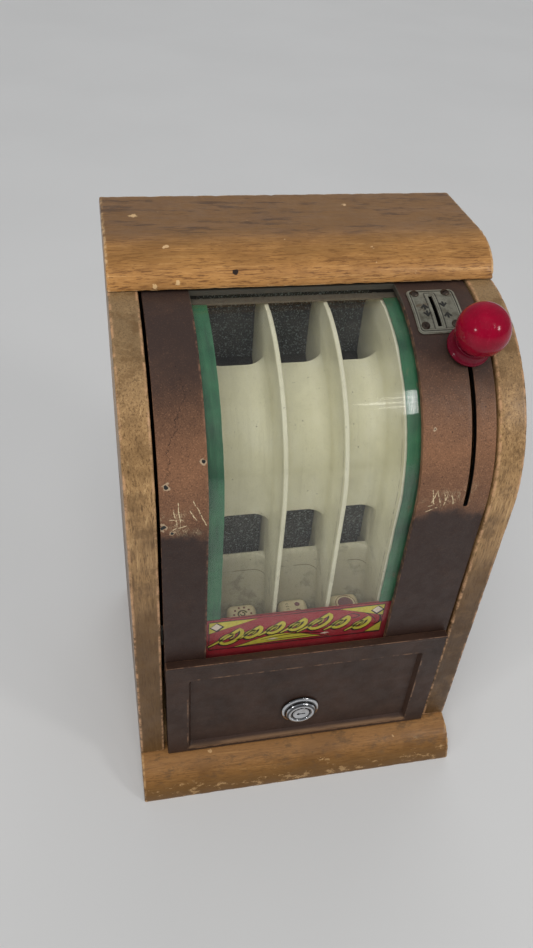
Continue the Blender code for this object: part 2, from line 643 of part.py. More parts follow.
# ---------------------------------------------------------------- cash drawer, lock
F = DRAWER_FACE
face_pts = [(YF + F, BASE_T + 1.2 * MM), (YF + 6 * MM, BASE_T + 1.2 * MM), (YF + 6 * MM, 97 * MM), (YF + 1.1 * MM, 97 * MM),
            (YF + 1.1 * MM, DRAWER_TOP), (YF - 4.1 * MM, DRAWER_TOP), (YF - 4.5 * MM, DRAWER_TOP - 0.6 * MM),
            (YF - 4.5 * MM, DRAWER_TOP - 1.3 * MM), (YF - 4.1 * MM, DRAWER_TOP - 1.9 * MM), (YF + F, DRAWER_TOP - 2.2 * MM)]
face = prism("drawer_front", face_pts, -90 * MM, 90 * MM, BROWN)
bm = bmesh.new()
rows = []
for y, x_half, z0, z1 in ((YF + F - 2 * MM, 76.9 * MM, 28.4 * MM, 104.1 * MM), (YF + F + 3.2 * MM, 74.5 * MM, 32.4 * MM, 102.4 * MM)):
    rows.append([bm.verts.new((-x_half, y, z0)), bm.verts.new((x_half, y, z0)), bm.verts.new((x_half, y, z1)),
                 bm.verts.new((-x_half, y, z1))])
bm.faces.new(rows[0])
bm.faces.new(list(reversed(rows[1])))
for i in range(4):
    j = (i + 1) % 4
    bm.faces.new((rows[0][i], rows[1][i], rows[1][j], rows[0][j]))
boolean(face, finish("cut", bm, None))
boolean(face, rod_y("cut", 9.3 * MM, YF - 8 * MM, YF + 10 * MM, LOCK_X, LOCK_Z, None))
shade(face)

tray = box("drawer_box", -87 * MM, 87 * MM, YF + 6.3 * MM, YF + 140 * MM, 27 * MM, 76 * MM, TIN)
boolean(tray, finish("cut", box_bm(-85.8 * MM, 85.8 * MM, YF + 25.2 * MM, YF + 138.8 * MM, 28.2 * MM, 80 * MM), None))
boolean(tray, finish("cut", box_bm(-85.8 * MM, 85.8 * MM, YF + 0 * MM, YF + 24 * MM, 28.2 * MM, 80 * MM), None))
for label, x0, x1 in (("left", -IN_W + GAP, -87.5 * MM), ("right", 87.5 * MM, IN_W - GAP)):
    box("drawer_guide_" + label, x0, x1, YF + 7 * MM, YF + 150 * MM, BASE_T + GAP, 44 * MM, WOOD_IN)

lock_y = YF + F + 3.2 * MM
turn = Matrix.Translation((LOCK_X, lock_y - 0.2 * MM, LOCK_Z)) @ Matrix.Rotation(math.radians(90), 4, "X")
body_prof = [(6.3 * MM, -13 * MM), (9.0 * MM, -13 * MM), (9.0 * MM, 0.0), (13.0 * MM, 0.0), (13.0 * MM, 0.9 * MM),
             (12.3 * MM, 1.7 * MM), (11.0 * MM, 2.0 * MM), (10.4 * MM, 3.4 * MM), (9.2 * MM, 4.4 * MM), (7.6 * MM, 4.8 * MM),
             (6.3 * MM, 4.3 * MM)]
lathe("lock_body", body_prof, 48, CHROME, turn, True)
plug = lathe("lock_plug", [(0.0, -15.0 * MM), (6.0 * MM, -15.0 * MM), (6.0 * MM, 4.0 * MM), (5.6 * MM, 4.4 * MM),
                           (0.0, 4.4 * MM)], 40, CHROME, turn)
key = finish("cut", box_bm(-2.6 * MM, 2.6 * MM, -0.55 * MM, 0.55 * MM, -3 * MM, 6 * MM), None)
key.data.transform(turn)
boolean(plug, key)
shade(plug)
cam_y = lock_y + 15.1 * MM
cam_pts = []
for x, z in ((-6, -6), (6, -6), (8, -5), (46, -4), (48, -2.5), (48, 2.5), (46, 4), (8, 5), (6, 6), (-6, 6), (-7, 3), (-7, -3)):
    cam_pts.append((x * MM, z * MM))
bm = flat_bm(cam_pts, 0.0, 1.8 * MM)
bmesh.ops.transform(bm, matrix=Matrix.Translation((LOCK_X, cam_y + 1.8 * MM, LOCK_Z)) @ Matrix.Rotation(math.radians(90), 4, "X"),
                    verts=bm.verts)
finish("lock_cam", bm, STEEL)
box("lock_strike", LOCK_X - 11 * MM, LOCK_X + 11 * MM, YF + 4.8 * MM, YF + 12.5 * MM, 98.4 * MM, 106 * MM, STEEL)

# ---------------------------------------------------------------- rear door, hinges and pull
DOOR_Y0 = 79 * MM
DOOR_Y1 = 88 * MM
AX_X = -89.2 * MM
AX_Y = 91.6 * MM
KNUCKLE = 2.6 * MM
rear = box("rear_door", -91.2 * MM, 90.2 * MM, DOOR_Y0, DOOR_Y1, BASE_T + 0.8 * MM, HEIGHT - TOP_T - 0.8 * MM, WOOD_IN)
for n, zc in enumerate((78 * MM, 268 * MM)):
    tag = ("lower", "upper")[n]
    boolean(rear, finish("cut", box_bm(-92 * MM, -60 * MM, DOOR_Y1 - 0.9 * MM, DOOR_Y1 + 1 * MM, zc - 20.4 * MM,
                                       zc + 20.4 * MM), None))
    door_leaf = box("hinge_leaf_" + tag, -87.5 * MM, -64 * MM, DOOR_Y1 - 0.6 * MM, DOOR_Y1 + 0.5 * MM, zc - 20 * MM,
                    zc + 20 * MM, BRASS)
    web = box("web", AX_X - 1.0 * MM, -85.5 * MM, DOOR_Y1 + 0.2 * MM - 0.8 * MM, DOOR_Y1 + 0.5 * MM, zc - 8 * MM,
              zc + 8 * MM, None)
    boolean(door_leaf, web, "UNION")
    barrel = lathe("barrel", [(KNUCKLE, -8 * MM), (KNUCKLE, 8 * MM)], 24, None, Matrix.Translation((AX_X, AX_Y, zc)))
    boolean(door_leaf, barrel, "UNION")
    tie = box("tie", AX_X - 1.0 * MM, AX_X + 1.0 * MM, DOOR_Y1 + 0.0 * MM, AX_Y, zc - 8 * MM, zc + 8 * MM, None)
    boolean(door_leaf, tie, "UNION")
    boolean(door_leaf, lathe("cut", [(1.45 * MM, -30 * MM), (1.45 * MM, 30 * MM)], 16, None,
                             Matrix.Translation((AX_X, AX_Y, zc))))
    shade(door_leaf)
    fixed = box("hinge_fixed_" + tag, -IN_W + GAP, -IN_W + 1.3 * MM, AX_Y - 2.9 * MM, AX_Y + 5.2 * MM, zc - 20 * MM,
                zc + 20 * MM, BRASS)
    for lo, hi in ((-20 * MM, -8.4 * MM), (8.4 * MM, 20 * MM)):
        boolean(fixed, lathe("barrel", [(KNUCKLE, lo), (KNUCKLE, hi)], 24, None, Matrix.Translation((AX_X, AX_Y, zc))),
                "UNION")
        boolean(fixed, finish("tie", box_bm(-IN_W + 0.6 * MM, AX_X, AX_Y - 0.6 * MM, AX_Y + 0.6 * MM, zc + lo, zc + hi), None),
                "UNION")
    boolean(fixed, lathe("cut", [(1.45 * MM, -30 * MM), (1.45 * MM, 30 * MM)], 16, None,
                         Matrix.Translation((AX_X, AX_Y, zc))))
    boolean(fixed, finish("cut", box_bm(-IN_W - 1 * MM, -80 * MM, AX_Y - 5 * MM, AX_Y + 3.1 * MM, zc - 8.4 * MM,
                                        zc + 8.4 * MM), None))
    shade(fixed)
    lathe("hinge_pin_" + tag, [(1.15 * MM, -20.5 * MM), (1.15 * MM, 20.2 * MM), (2.0 * MM, 20.4 * MM), (2.0 * MM, 21.2 * MM)],
          16, BRASS, Matrix.Translation((AX_X, AX_Y, zc)))

pull = Matrix.Translation((76 * MM, DOOR_Y1 + GAP, 172 * MM)) @ Matrix.Rotation(math.radians(-90), 4, "X")
lathe("rear_pull", [(0.0, 0.0), (4.0 * MM, 0.0), (3.6 * MM, 2.0 * MM), (5.6 * MM, 3.6 * MM), (6.8 * MM, 5.2 * MM),
                    (6.2 * MM, 6.8 * MM), (3.5 * MM, 7.9 * MM), (0.0, 8.3 * MM)], 32, BRASS, pull)


# ---------------------------------------------------------------- pivots of the moving pieces
def pivot(name, point, members, parent=None):
    """An empty on the joint's axis, with the pieces that move about it."""
    empty = bpy.data.objects.new(name, None)
    empty.empty_display_size = 0.02
    bpy.context.scene.collection.objects.link(empty)
    place = Vector(point)
    if parent is not None:
        empty.parent = parent
        empty.location = place - parent.matrix_world.translation
    else:
        empty.location = place
    bpy.context.view_layer.update()
    for member in members:
        obj = bpy.data.objects[member]
        obj.data.transform(Matrix.Translation(-place))
        obj.parent = empty
    bpy.context.view_layer.update()
    return empty


lever_pivot = pivot("pivot_lever", (LEVER_X, YC, ZC), ("lever_arm", "lever_collar", "lever_knob"))
pivot("pivot_link", (LEVER_X, pin_y, pin_z), ("link_rod",), lever_pivot)
pivot("pivot_kicker", (0.0, KICK_Y, KICK_Z), ("kicker",))
drawer_slide = pivot("slide_drawer", (0.0, YF, BASE_T), ("drawer_front", "drawer_box", "lock_body"))
pivot("pivot_lock", (LOCK_X, lock_y, LOCK_Z), ("lock_plug", "lock_cam"), drawer_slide)
pivot("pivot_rear_door", (AX_X, AX_Y, 0.0), ("rear_door", "hinge_leaf_lower", "hinge_leaf_upper", "rear_pull"))
for n, (x0, x1) in enumerate(lanes):
    pivot("slide_die_%d" % (n + 1), ((x0 + x1) / 2, YF + DIE_Y0 + DIE / 2, DIE_Z), ("die_%d" % (n + 1),))
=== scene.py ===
"""Countertop dice-lane gaming machine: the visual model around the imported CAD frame."""
import math

import bmesh
import bpy
import numpy as np
from mathutils import Matrix, Vector, noise


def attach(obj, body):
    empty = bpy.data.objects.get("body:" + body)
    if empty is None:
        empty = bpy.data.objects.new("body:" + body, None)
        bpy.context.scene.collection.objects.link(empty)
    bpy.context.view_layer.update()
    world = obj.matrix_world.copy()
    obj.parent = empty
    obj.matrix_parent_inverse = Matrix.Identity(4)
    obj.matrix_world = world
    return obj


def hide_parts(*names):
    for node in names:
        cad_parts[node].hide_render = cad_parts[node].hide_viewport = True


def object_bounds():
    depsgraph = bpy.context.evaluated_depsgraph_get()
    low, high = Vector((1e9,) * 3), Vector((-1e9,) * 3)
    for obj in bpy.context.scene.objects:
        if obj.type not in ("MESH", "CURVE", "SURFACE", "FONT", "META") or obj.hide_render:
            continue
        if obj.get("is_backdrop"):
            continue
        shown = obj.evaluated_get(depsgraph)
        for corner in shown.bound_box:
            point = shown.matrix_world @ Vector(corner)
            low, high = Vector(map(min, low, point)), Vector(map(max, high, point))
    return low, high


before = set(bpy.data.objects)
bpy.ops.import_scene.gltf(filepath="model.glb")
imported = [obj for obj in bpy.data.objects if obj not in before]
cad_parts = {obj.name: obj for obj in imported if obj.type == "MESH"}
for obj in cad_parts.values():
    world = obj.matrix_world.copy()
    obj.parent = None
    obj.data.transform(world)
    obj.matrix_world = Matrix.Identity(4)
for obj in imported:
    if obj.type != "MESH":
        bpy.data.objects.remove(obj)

cad_low, cad_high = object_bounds()

MM = 0.001
HALF_W = cad_high.x
YB = cad_high.y
YF = cad_low.y + 22 * MM       # front edge of the side panels
TOP = cad_high.z
IN_W = HALF_W - 16 * MM
ARC_R = 95 * MM
YC = YF + ARC_R
ZC = TOP - 18 * MM - ARC_R
STRAIGHT = ZC / MM             # the front is straight up to here, then turns round the arc
GAP = 0.3 * MM
LANES = ((-56.0, -24.5), (-21.5, 8.8), (11.8, 42.0))
FIN_X = (-57.0, -23.0, 10.3, 43.0)


# ---------------------------------------------------------------- outlines
def front_at(q, off):
    """(y, z) at q: millimetres up the straight front, then degrees round the arc, then millimetres back."""
    if q <= STRAIGHT:
        return YF + off * MM, q * MM
    turn = math.radians(min(q - STRAIGHT, 90.0))
    radius = ARC_R - off * MM
    back = max(q - STRAIGHT - 90.0, 0.0) * MM
    return YC - radius * math.cos(turn) + back, ZC + radius * math.sin(turn)


def steps(low, high, count):
    return [low + (high - low) * i / count for i in range(count + 1)]


def front_run(low, high, coarse=4.0, fine=1.25):
    """Positions up the front: coarse on the straight part and fine on the arc."""
    out = []
    if low < STRAIGHT:
        top = min(high, STRAIGHT)
        out += steps(low, top, max(1, round((top - low) / coarse)))
    if high > STRAIGHT:
        start = max(low, STRAIGHT)
        part = steps(start, high, max(1, round((high - start) / fine)))
        out += part[1:] if out else part
    return out


def soften(points, radius, segs=4, limit=20.0, hold=1.2 * MM):
    """Rounds the corners of a closed outline, with a point held just beyond each one."""
    pts = [Vector(p) for p in points]
    out = []
    for i, p in enumerate(pts):
        u, v = pts[i - 1] - p, pts[(i + 1) % len(pts)] - p
        lu, lv = u.length, v.length
        u, v = u / lu, v / lv
        turn = math.pi - math.acos(max(-1.0, min(1.0, u.dot(v))))
        if turn < math.radians(limit):
            out.append(p)
            continue
        reach = min(radius * math.tan(turn / 2), lu * 0.45, lv * 0.45)
        r = reach / math.tan(turn / 2)
        centre = p + (u + v).normalized() * (r / math.cos(turn / 2))
        a0 = math.atan2(*reversed(p + u * reach - centre))
        a1 = math.atan2(*reversed(p + v * reach - centre))
        sweep = (a1 - a0 + math.pi) % (2 * math.pi) - math.pi
        if lu > (reach + hold) * 2.2:
            out.append(p + u * (reach + hold))
        for k in range(segs + 1):
            a = a0 + sweep * k / segs
            out.append(centre + Vector((math.cos(a), math.sin(a))) * r)
        if lv > (reach + hold) * 2.2:
            out.append(p + v * (reach + hold))
    return out


def ccw(points):
    pts = [Vector(p) for p in points]
    area = sum(a.x * b.y - b.x * a.y for a, b in zip(pts, pts[1:] + pts[:1]))
    return pts if area > 0 else pts[::-1]


def inset(points, amount):
    """Moves a closed outline inwards, or outwards if amount is negative, without letting it cross itself."""
    if amount == 0:
        return points
    p = np.array([tuple(q) for q in points])
    ahead = np.roll(p, -1, axis=0) - p
    length = np.maximum(np.linalg.norm(ahead, axis=1), 1e-12)
    ahead /= length[:, None]
    normal = np.column_stack([-ahead[:, 1], ahead[:, 0]])
    before = np.roll(normal, 1, axis=0)
    share = amount / np.maximum(0.2, 1 + (normal * before).sum(axis=1))
    out = p + (normal + before) * share[:, None]
    for _ in range(8 if amount > 0 else 0):
        rel = out[:, None, :] - p[None, :, :]
        t = np.clip((rel * ahead[None]).sum(axis=2), 0.0, length[None])
        gap = np.linalg.norm(rel - t[:, :, None] * ahead[None], axis=2)
        near = gap.argmin(axis=1)
        side = (rel[np.arange(len(out)), near] * normal[near]).sum(axis=1)
        short = np.where(side < 0, amount - side, amount - gap[np.arange(len(out)), near])
        out += normal[near] * np.maximum(short, 0.0)[:, None]
    return [Vector(q) for q in out]


def circle(cx, cy, radius, segs):
    return [(cx + radius * math.cos(2 * math.pi * i / segs), cy + radius * math.sin(2 * math.pi * i / segs))
            for i in range(segs)]


def round_rect(x0, x1, y0, y1, radius, segs=6):
    return soften([(x0, y0), (x1, y0), (x1, y1), (x0, y1)], radius, segs, hold=1.0)


# ---------------------------------------------------------------- meshes
def along_x(a, p):
    return Vector((a, p[0], p[1]))


def along_y(a, p):
    return Vector((p[0], a, p[1]))


def along_z(a, p):
    return Vector((p[0], p[1], a))


def slab(outline, a0, a1, edge, place=along_x, bevel=3, cuts=0, hold=1.0 * MM):
    """A closed outline drawn out between a0 and a1, with its rims rounded by edge."""
    loop = ccw(outline)
    rim = [(0.0, a0)]
    if edge > 0:
        rim = [(edge * (1 - math.sin(math.pi / 2 * k / bevel)),
                a0 + edge * (1 - math.cos(math.pi / 2 * k / bevel)))
               for k in range(bevel + 1)]
    rings = ([(edge + hold, a0)] if edge > 0 else []) + rim
    if cuts:
        rings += [(0.0, a) for a in steps(a0 + edge + hold, a1 - edge - hold, cuts)]
    rings += [(i, a1 + a0 - a) for i, a in reversed(rim)] + ([(edge + hold, a1)] if edge > 0 else [])
    bm = bmesh.new()
    made = [[bm.verts.new(place(a, p)) for p in inset(loop, i)] for i, a in rings]
    for low, high in zip(made[:-1], made[1:]):
        for k in range(len(low)):
            m = (k + 1) % len(low)
            bm.faces.new((low[k], low[m], high[m], high[k]))
    bm.faces.new(made[0][::-1])
    bm.faces.new(made[-1])
    bmesh.ops.recalc_face_normals(bm, faces=bm.faces)
    return bm


def lathe(profile, segs, matrix=None, loop=False):
    bm = bmesh.new()
    rings = []
    for radius, height in profile:
        if radius < 1e-7:
            rings.append([bm.verts.new((0.0, 0.0, height))])
        else:
            rings.append([bm.verts.new((x, y, height)) for x, y in circle(0.0, 0.0, radius, segs)])
    pairs = list(zip(rings[:-1], rings[1:])) + ([(rings[-1], rings[0])] if loop else [])
    for low, high in pairs:
        for i in range(segs):
            j = (i + 1) % segs
            if len(low) == 1:
                bm.faces.new((low[0], high[j], high[i]))
            elif len(high) == 1:
                bm.faces.new((low[i], low[j], high[0]))
            else:
                bm.faces.new((low[i], low[j], high[j], high[i]))
    if not loop:
        for ring, flip in ((rings[0], True), (rings[-1], False)):
            if len(ring) > 1:
                bm.faces.new(ring[::-1] if flip else ring)
    if matrix is not None:
        bmesh.ops.transform(bm, matrix=matrix, verts=bm.verts)
    bmesh.ops.recalc_face_normals(bm, faces=bm.faces)
    return bm


def round_profile(points, radius, segs=4):
    """Rounds the inner corners of an open (radius, height) profile."""
    pts = [Vector(p) for p in points]
    out = [pts[0]]
    for a, p, b in zip(pts[:-2], pts[1:-1], pts[2:]):
        u, v = (a - p), (b - p)
        reach = min(radius, u.length * 0.45, v.length * 0.45)
        u, v = u.normalized(), v.normalized()
        start, end = p + u * reach, p + v * reach
        for k in range(segs + 1):
            t = k / segs
            out.append(start * (1 - t) ** 2 + p * 2 * t * (1 - t) + end * t ** 2)
    out.append(pts[-1])
    return out


SOLVER = "MANIFOLD"


def combine(target, other, operation="DIFFERENCE"):
    """Boolean of two bmeshes, both used up; the result is a new bmesh."""
    objects = []
    for bm in (target, other):
        mesh = bpy.data.meshes.new("part")
        bm.to_mesh(mesh)
        bm.free()
        obj = bpy.data.objects.new("part", mesh)
        bpy.context.scene.collection.objects.link(obj)
        objects.append(obj)
    mod = objects[0].modifiers.new("bool", "BOOLEAN")
    mod.operation, mod.solver, mod.object = operation, SOLVER, objects[1]
    graph = bpy.context.evaluated_depsgraph_get()
    mesh = bpy.data.meshes.new_from_object(objects[0].evaluated_get(graph))
    out = bmesh.new()
    out.from_mesh(mesh)
    bmesh.ops.remove_doubles(out, verts=out.verts, dist=0.000003)
    bmesh.ops.dissolve_degenerate(out, dist=0.000003, edges=out.edges)
    for obj in objects:
        data = obj.data
        bpy.data.objects.remove(obj, do_unlink=True)
        bpy.data.meshes.remove(data)
    bpy.data.meshes.remove(mesh)
    return out


def mark_wear(bm, limit=7.0):
    """Stores 1 at the vertices of convex edges, so that a material can wear them."""
    layer = bm.verts.layers.float.get("wear") or bm.verts.layers.float.new("wear")
    for edge in bm.edges:
        if len(edge.link_faces) == 2 and edge.calc_face_angle_signed(0.0) > math.radians(limit):
            for vert in edge.verts:
                vert[layer] = 1.0


def weather(bm, dent, chip, seed, scale=120.0):
    """Sinks a surface slightly and unevenly, and its worn edges more."""
    bm.normal_update()
    layer = bm.verts.layers.float.get("wear")
    shift = Vector((seed * 7.31, seed * 3.17, seed * 1.93))
    moves = []
    for vert in bm.verts:
        low = noise.noise(vert.co * scale + shift)
        amount = dent * (0.5 + 0.5 * low)
        if layer is not None and vert[layer] > 0.5:
            high = noise.noise(vert.co * scale * 3.1 - shift)
            amount += chip * (0.35 + max(0.0, high) * 1.6)
        moves.append((vert, vert.normal * amount))
    for vert, move in moves:
        vert.co -= move
        vert.co.x = max(-HALF_W, min(HALF_W, vert.co.x))


def piece(name, bm, mat, body, nodes=(), sharp=32.0, bevel=0.0, limit=30.0):
    if bevel == 0.0 and bm.verts.layers.float.get("wear") is None:
        mark_wear(bm, 12.0)
    mesh = bpy.data.meshes.new(name)
    bm.to_mesh(mesh)
    bm.free()
    mesh.polygons.foreach_set("use_smooth", [True] * len(mesh.polygons))
    if bevel == 0.0:
        mesh.set_sharp_from_angle(angle=math.radians(sharp))
    mesh.materials.append(mat)
    obj = bpy.data.objects.new(name, mesh)
    bpy.context.scene.collection.objects.link(obj)
    if bevel > 0.0:
        soften_edges(obj, bevel, limit)
    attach(obj, body)
    if nodes:
        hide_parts(*nodes)
    return obj


def soften_edges(obj, width, limit=30.0, segments=2):
    mod = obj.modifiers.new("edges", "BEVEL")
    mod.limit_method = "ANGLE"
    mod.angle_limit = math.radians(limit)
    mod.width = width
    mod.segments = segments
    mod.use_clamp_overlap = True
    mod.harden_normals = True
    return mod


# ---------------------------------------------------------------- materials
def srgb(r, g, b):
    out = []
    for c in (r, g, b):
        c /= 255.0
        out.append(c / 12.92 if c <= 0.04045 else ((c + 0.055) / 1.055) ** 2.4)
    return (*out, 1.0)


class Amount:
    """A number carried by the nodes of a Shader, so that plain arithmetic makes the math nodes."""

    def __init__(self, shader, socket):
        self.shader, self.socket = shader, socket

    def __add__(self, other):
        return self.shader.math("ADD", self, other)

    def __sub__(self, other):
        return self.shader.math("SUBTRACT", self, other)

    def __rsub__(self, other):
        return self.shader.math("SUBTRACT", other, self)

    def __mul__(self, other):
        return self.shader.math("MULTIPLY", self, other)

    def __pow__(self, other):
        return self.shader.math("POWER", self, other)

    def __abs__(self):
        return self.shader.math("ABSOLUTE", self)


class Shader:
    """A principled material and the few node shapes used to pattern it."""

    def __init__(self, name, rough=0.5, metal=0.0, coat=0.0, coat_rough=0.1, ior=1.5):
        self.mat = bpy.data.materials.new(name)
        self.mat.use_nodes = True
        self.tree = self.mat.node_tree
        self.bsdf = self.tree.nodes["Principled BSDF"]
        self.out = self.tree.nodes["Material Output"]
        for key, value in (("Roughness", rough), ("Metallic", metal), ("Coat Weight", coat),
                           ("Coat Roughness", coat_rough), ("IOR", ior)):
            self.bsdf.inputs[key].default_value = value
        self.texco = self.tree.nodes.new("ShaderNodeTexCoord").outputs["Object"]
        self.tone = None

    def node(self, kind, **settings):
        made = self.tree.nodes.new(kind)
        for key, value in settings.items():
            setattr(made, key, value)
        return made

    def plug(self, socket, value):
        if isinstance(value, Amount):
            value = value.socket
        if isinstance(value, bpy.types.NodeSocket):
            self.tree.links.new(value, socket)
        elif value is not None:
            socket.default_value = value

    def coords(self, scale=(1.0, 1.0, 1.0), shift=(0.0, 0.0, 0.0)):
        made = self.node("ShaderNodeMapping")
        self.plug(made.inputs["Vector"], self.texco)
        made.inputs["Scale"].default_value = scale
        made.inputs["Location"].default_value = shift
        return made.outputs["Vector"]

    def noise(self, scale, detail=4.0, rough=0.55, stretch=(1.0, 1.0, 1.0), warp=0.0, shift=(0.0, 0.0, 0.0)):
        made = self.node("ShaderNodeTexNoise")
        self.plug(made.inputs["Vector"], self.coords(stretch, shift))
        for key, value in (("Scale", scale), ("Detail", detail), ("Roughness", rough), ("Distortion", warp)):
            made.inputs[key].default_value = value
        return Amount(self, made.outputs["Fac"])

    def cells(self, scale):
        made = self.node("ShaderNodeTexVoronoi", feature="F1")
        self.plug(made.inputs["Vector"], self.coords())
        made.inputs["Scale"].default_value = scale
        return Amount(self, made.outputs["Distance"])

    def ramp(self, factor, *stops):
        made = self.node("ShaderNodeValToRGB")
        self.plug(made.inputs["Fac"], factor)
        ramp = made.color_ramp
        while len(ramp.elements) < len(stops):
            ramp.elements.new(0.5)
        for element, (spot, colour) in zip(ramp.elements, stops):
            element.position = spot
            element.color = srgb(*colour)
        return made.outputs["Color"]

    def span(self, value, low, high, a=0.0, b=1.0):
        made = self.node("ShaderNodeMapRange", interpolation_type="SMOOTHSTEP")
        for key, item in (("Value", value), ("From Min", low), ("From Max", high), ("To Min", a),
                          ("To Max", b)):
            self.plug(made.inputs[key], item)
        return Amount(self, made.outputs["Result"])

    def math(self, operation, a, b=None, c=None):
        made = self.node("ShaderNodeMath", operation=operation)
        for socket, value in zip(made.inputs, (a, b, c)):
            self.plug(socket, value)
        return Amount(self, made.outputs["Value"])

    def mix(self, factor, *colours):
        made = self.node("ShaderNodeMix", data_type="RGBA")
        self.plug(made.inputs["Factor"], factor)
        for socket, colour in zip(made.inputs[6:8], colours):
            self.plug(socket, srgb(*colour) if isinstance(colour, tuple) else colour)
        return made.outputs[2]

    def paint(self, factor, colour):
        """Lay one more colour over the tone the material has so far."""
        self.tone = self.mix(factor, self.tone, colour)

    def axis(self, index):
        made = self.node("ShaderNodeSeparateXYZ")
        self.plug(made.inputs["Vector"], self.texco)
        return Amount(self, made.outputs[index])

    def wear(self):
        return Amount(self, self.node("ShaderNodeAttribute", attribute_name="wear").outputs["Fac"])

    def near(self, point, radius, ragged=0.6, scale=420.0):
        """1 inside a ragged spot round a point of the object, 0 outside it."""
        gap = self.node("ShaderNodeVectorMath", operation="DISTANCE")
        self.plug(gap.inputs[0], self.texco)
        gap.inputs[1].default_value = point
        blur = (self.noise(scale, 3.0, 0.6) - 0.5) * (ragged * radius * 4)
        return self.span(Amount(self, gap.outputs["Value"]) + blur, radius, radius * 0.75)

    def cut(self, x0, z0, x1, z1, width):
        """A thin straight scratch on the front, fading at both ends."""
        dx, dz = x1 - x0, z1 - z0
        long = math.hypot(dx, dz)
        u, w = self.axis(0) - x0, self.axis(2) - z0
        along = u * (dx / long) + w * (dz / long)
        aside = u * (dz / long) - w * (dx / long)
        bend = (self.noise(120.0, 3.0, 0.6) - 0.5) * 0.0030
        near = self.span(abs(aside + bend), width, width * 0.4)
        return near * self.span(along, 0.0, 0.0012) * self.span(along, long,
                long - 0.0012) * self.span(self.noise(500.0, 3.0, 0.6), 0.38, 0.50)

    def front_depth(self):
        """Distance behind the curved front line, in metres."""
        y = self.axis(1) - YC
        z = self.math("MAXIMUM", self.axis(2) - ZC, 0.0)
        length = self.math("SQRT", y * y + z * z)
        return ARC_R - length

    def bump(self, *layers):
        """Layers of (height, strength, distance)."""
        normal = None
        for height, strength, distance in layers:
            made = self.node("ShaderNodeBump")
            made.inputs["Strength"].default_value = strength
            made.inputs["Distance"].default_value = distance
            self.plug(made.inputs["Height"], height)
            if normal is not None:
                self.plug(made.inputs["Normal"], normal)
            normal = made.outputs["Normal"]
        self.plug(self.bsdf.inputs["Normal"], normal)

    def done(self, rough):
        self.plug(self.bsdf.inputs["Base Color"], self.tone)
        self.plug(self.bsdf.inputs["Roughness"], rough)
        return self.mat


def on_front(x, z, off=1.5):
    """A point on the metal front, from millimetres across and up."""
    rise = max(0.0, z * MM - ZC)
    return (x * MM, YC - math.sqrt((ARC_R - off * MM) ** 2 - rise ** 2), z * MM)


def wood(name, along, dark, mid, light, raw, rough=0.42, gloss=0.25, blotch=0.6, change=None):
    """Old varnished timber with its grain along one axis."""
    s = Shader(name, coat=gloss, coat_rough=0.28, ior=1.38)
    long = [1.0, 1.0, 1.0]
    long[along] = 0.045
    short = [1.0, 1.0, 1.0]
    short[along] = 0.11
    streak = s.noise(470.0, 7.0, 0.70, tuple(long), 0.6)
    fleck = s.noise(1050.0, 3.0, 0.62, tuple(short))
    cloud = s.noise(34.0, 5.0, 0.6)
    s.tone = s.ramp(streak, (0.30, dark), (0.44, mid), (0.56, mid), (0.68, light))
    s.paint(s.span(fleck, 0.50, 0.72, 0.0, 0.50), light)
    s.paint(s.span(fleck, 0.46, 0.34, 0.0, 0.65), dark)
    pore = s.noise(1900.0, 2.0, 0.5, tuple(short))
    s.paint(s.span(pore, 0.40, 0.34, 0.0, 0.65), dark)
    s.paint(s.span(cloud, 0.42, 0.70, 0.0, blotch), dark)
    if change is not None:
        change(s)
    worn = s.wear() * s.span(s.noise(210.0, 4.0, 0.7), 0.40, 0.62)
    s.paint(worn * 0.75, raw)
    nick = s.span(s.noise(120.0, 3.0, 0.5, shift=(3.0, 1.0, 2.0)), 0.73, 0.76) * 0.8
    s.paint(nick, raw)
    roughness = s.span(s.noise(90.0, 4.0, 0.6), 0.3, 0.7, rough - 0.08, rough + 0.2)
    s.bump((streak, 0.35, 0.0004), (fleck, 0.5, 0.00025))
    return s.done(roughness)


def dull_top(s):
    """The flat of the top board is painted greyer brown than the nose, with streaks of grime."""
    edge = s.axis(1) + s.noise(40.0, 3.0, 0.6) * 0.006
    flat = s.span(edge, YF + 0.1080, YF + 0.1270)
    grey_brown_flat = s.mix(0.64, s.tone, (98, 81, 70))
    s.paint(flat, grey_brown_flat)
    shade = s.span(s.axis(2), 0.3270,
                   0.3355) * s.span(s.noise(90.0, 5.0, 0.7, (0.15, 1.0, 1.0), shift=(0.1, 0.8, 0.2)), 0.36,
                                    0.60, 0.25, 0.62)
    s.paint(shade, (132, 94, 48))
    grime = s.span(s.noise(150.0, 6.0, 0.75, (0.22, 1.0, 1.0), shift=(0.5, 0.2, 0.7)), 0.52, 0.64) * flat * 0.62
    s.paint(grime, (70, 52, 42))
    s.paint(s.near((-0.040, 0.0164, 0.328), 0.0017, 0.3), (42, 28, 20))
    for point, radius in (((-0.0906, 0.0684, 0.338), 0.0022), ((-0.0829, 0.0136, 0.3223), 0.0018),
                          ((-0.0710, 0.0141, 0.3240), 0.0014)):
        s.paint(s.near(point, radius, 0.9), (222, 184, 132))


def pale_top(s):
    """Side panels turn greyer near the top of the arc, and darker and browner lower down; painted shade darkens
    the lower front of the right panel further.
    """
    high = s.span(s.axis(2), 0.280, 0.317, 0.0, 0.55)
    s.paint(high, (120, 102, 76))
    low = s.span(s.axis(2), 0.235, 0.12, 0.0, 0.86)
    s.paint(low, (80, 55, 26))
    # Painted shade on the lower front of the right panel.
    s.paint(s.span(s.axis(0), 0.080, 0.095) * s.span(s.axis(2), 0.210, 0.100, 0.0, 0.60), (64, 42, 18))
    patch = s.span(s.noise(70.0, 5.0, 0.7, shift=(0.2, 0.9, 0.4)), 0.50, 0.64, 0.0, 0.62)
    s.paint(patch, (108, 80, 48))


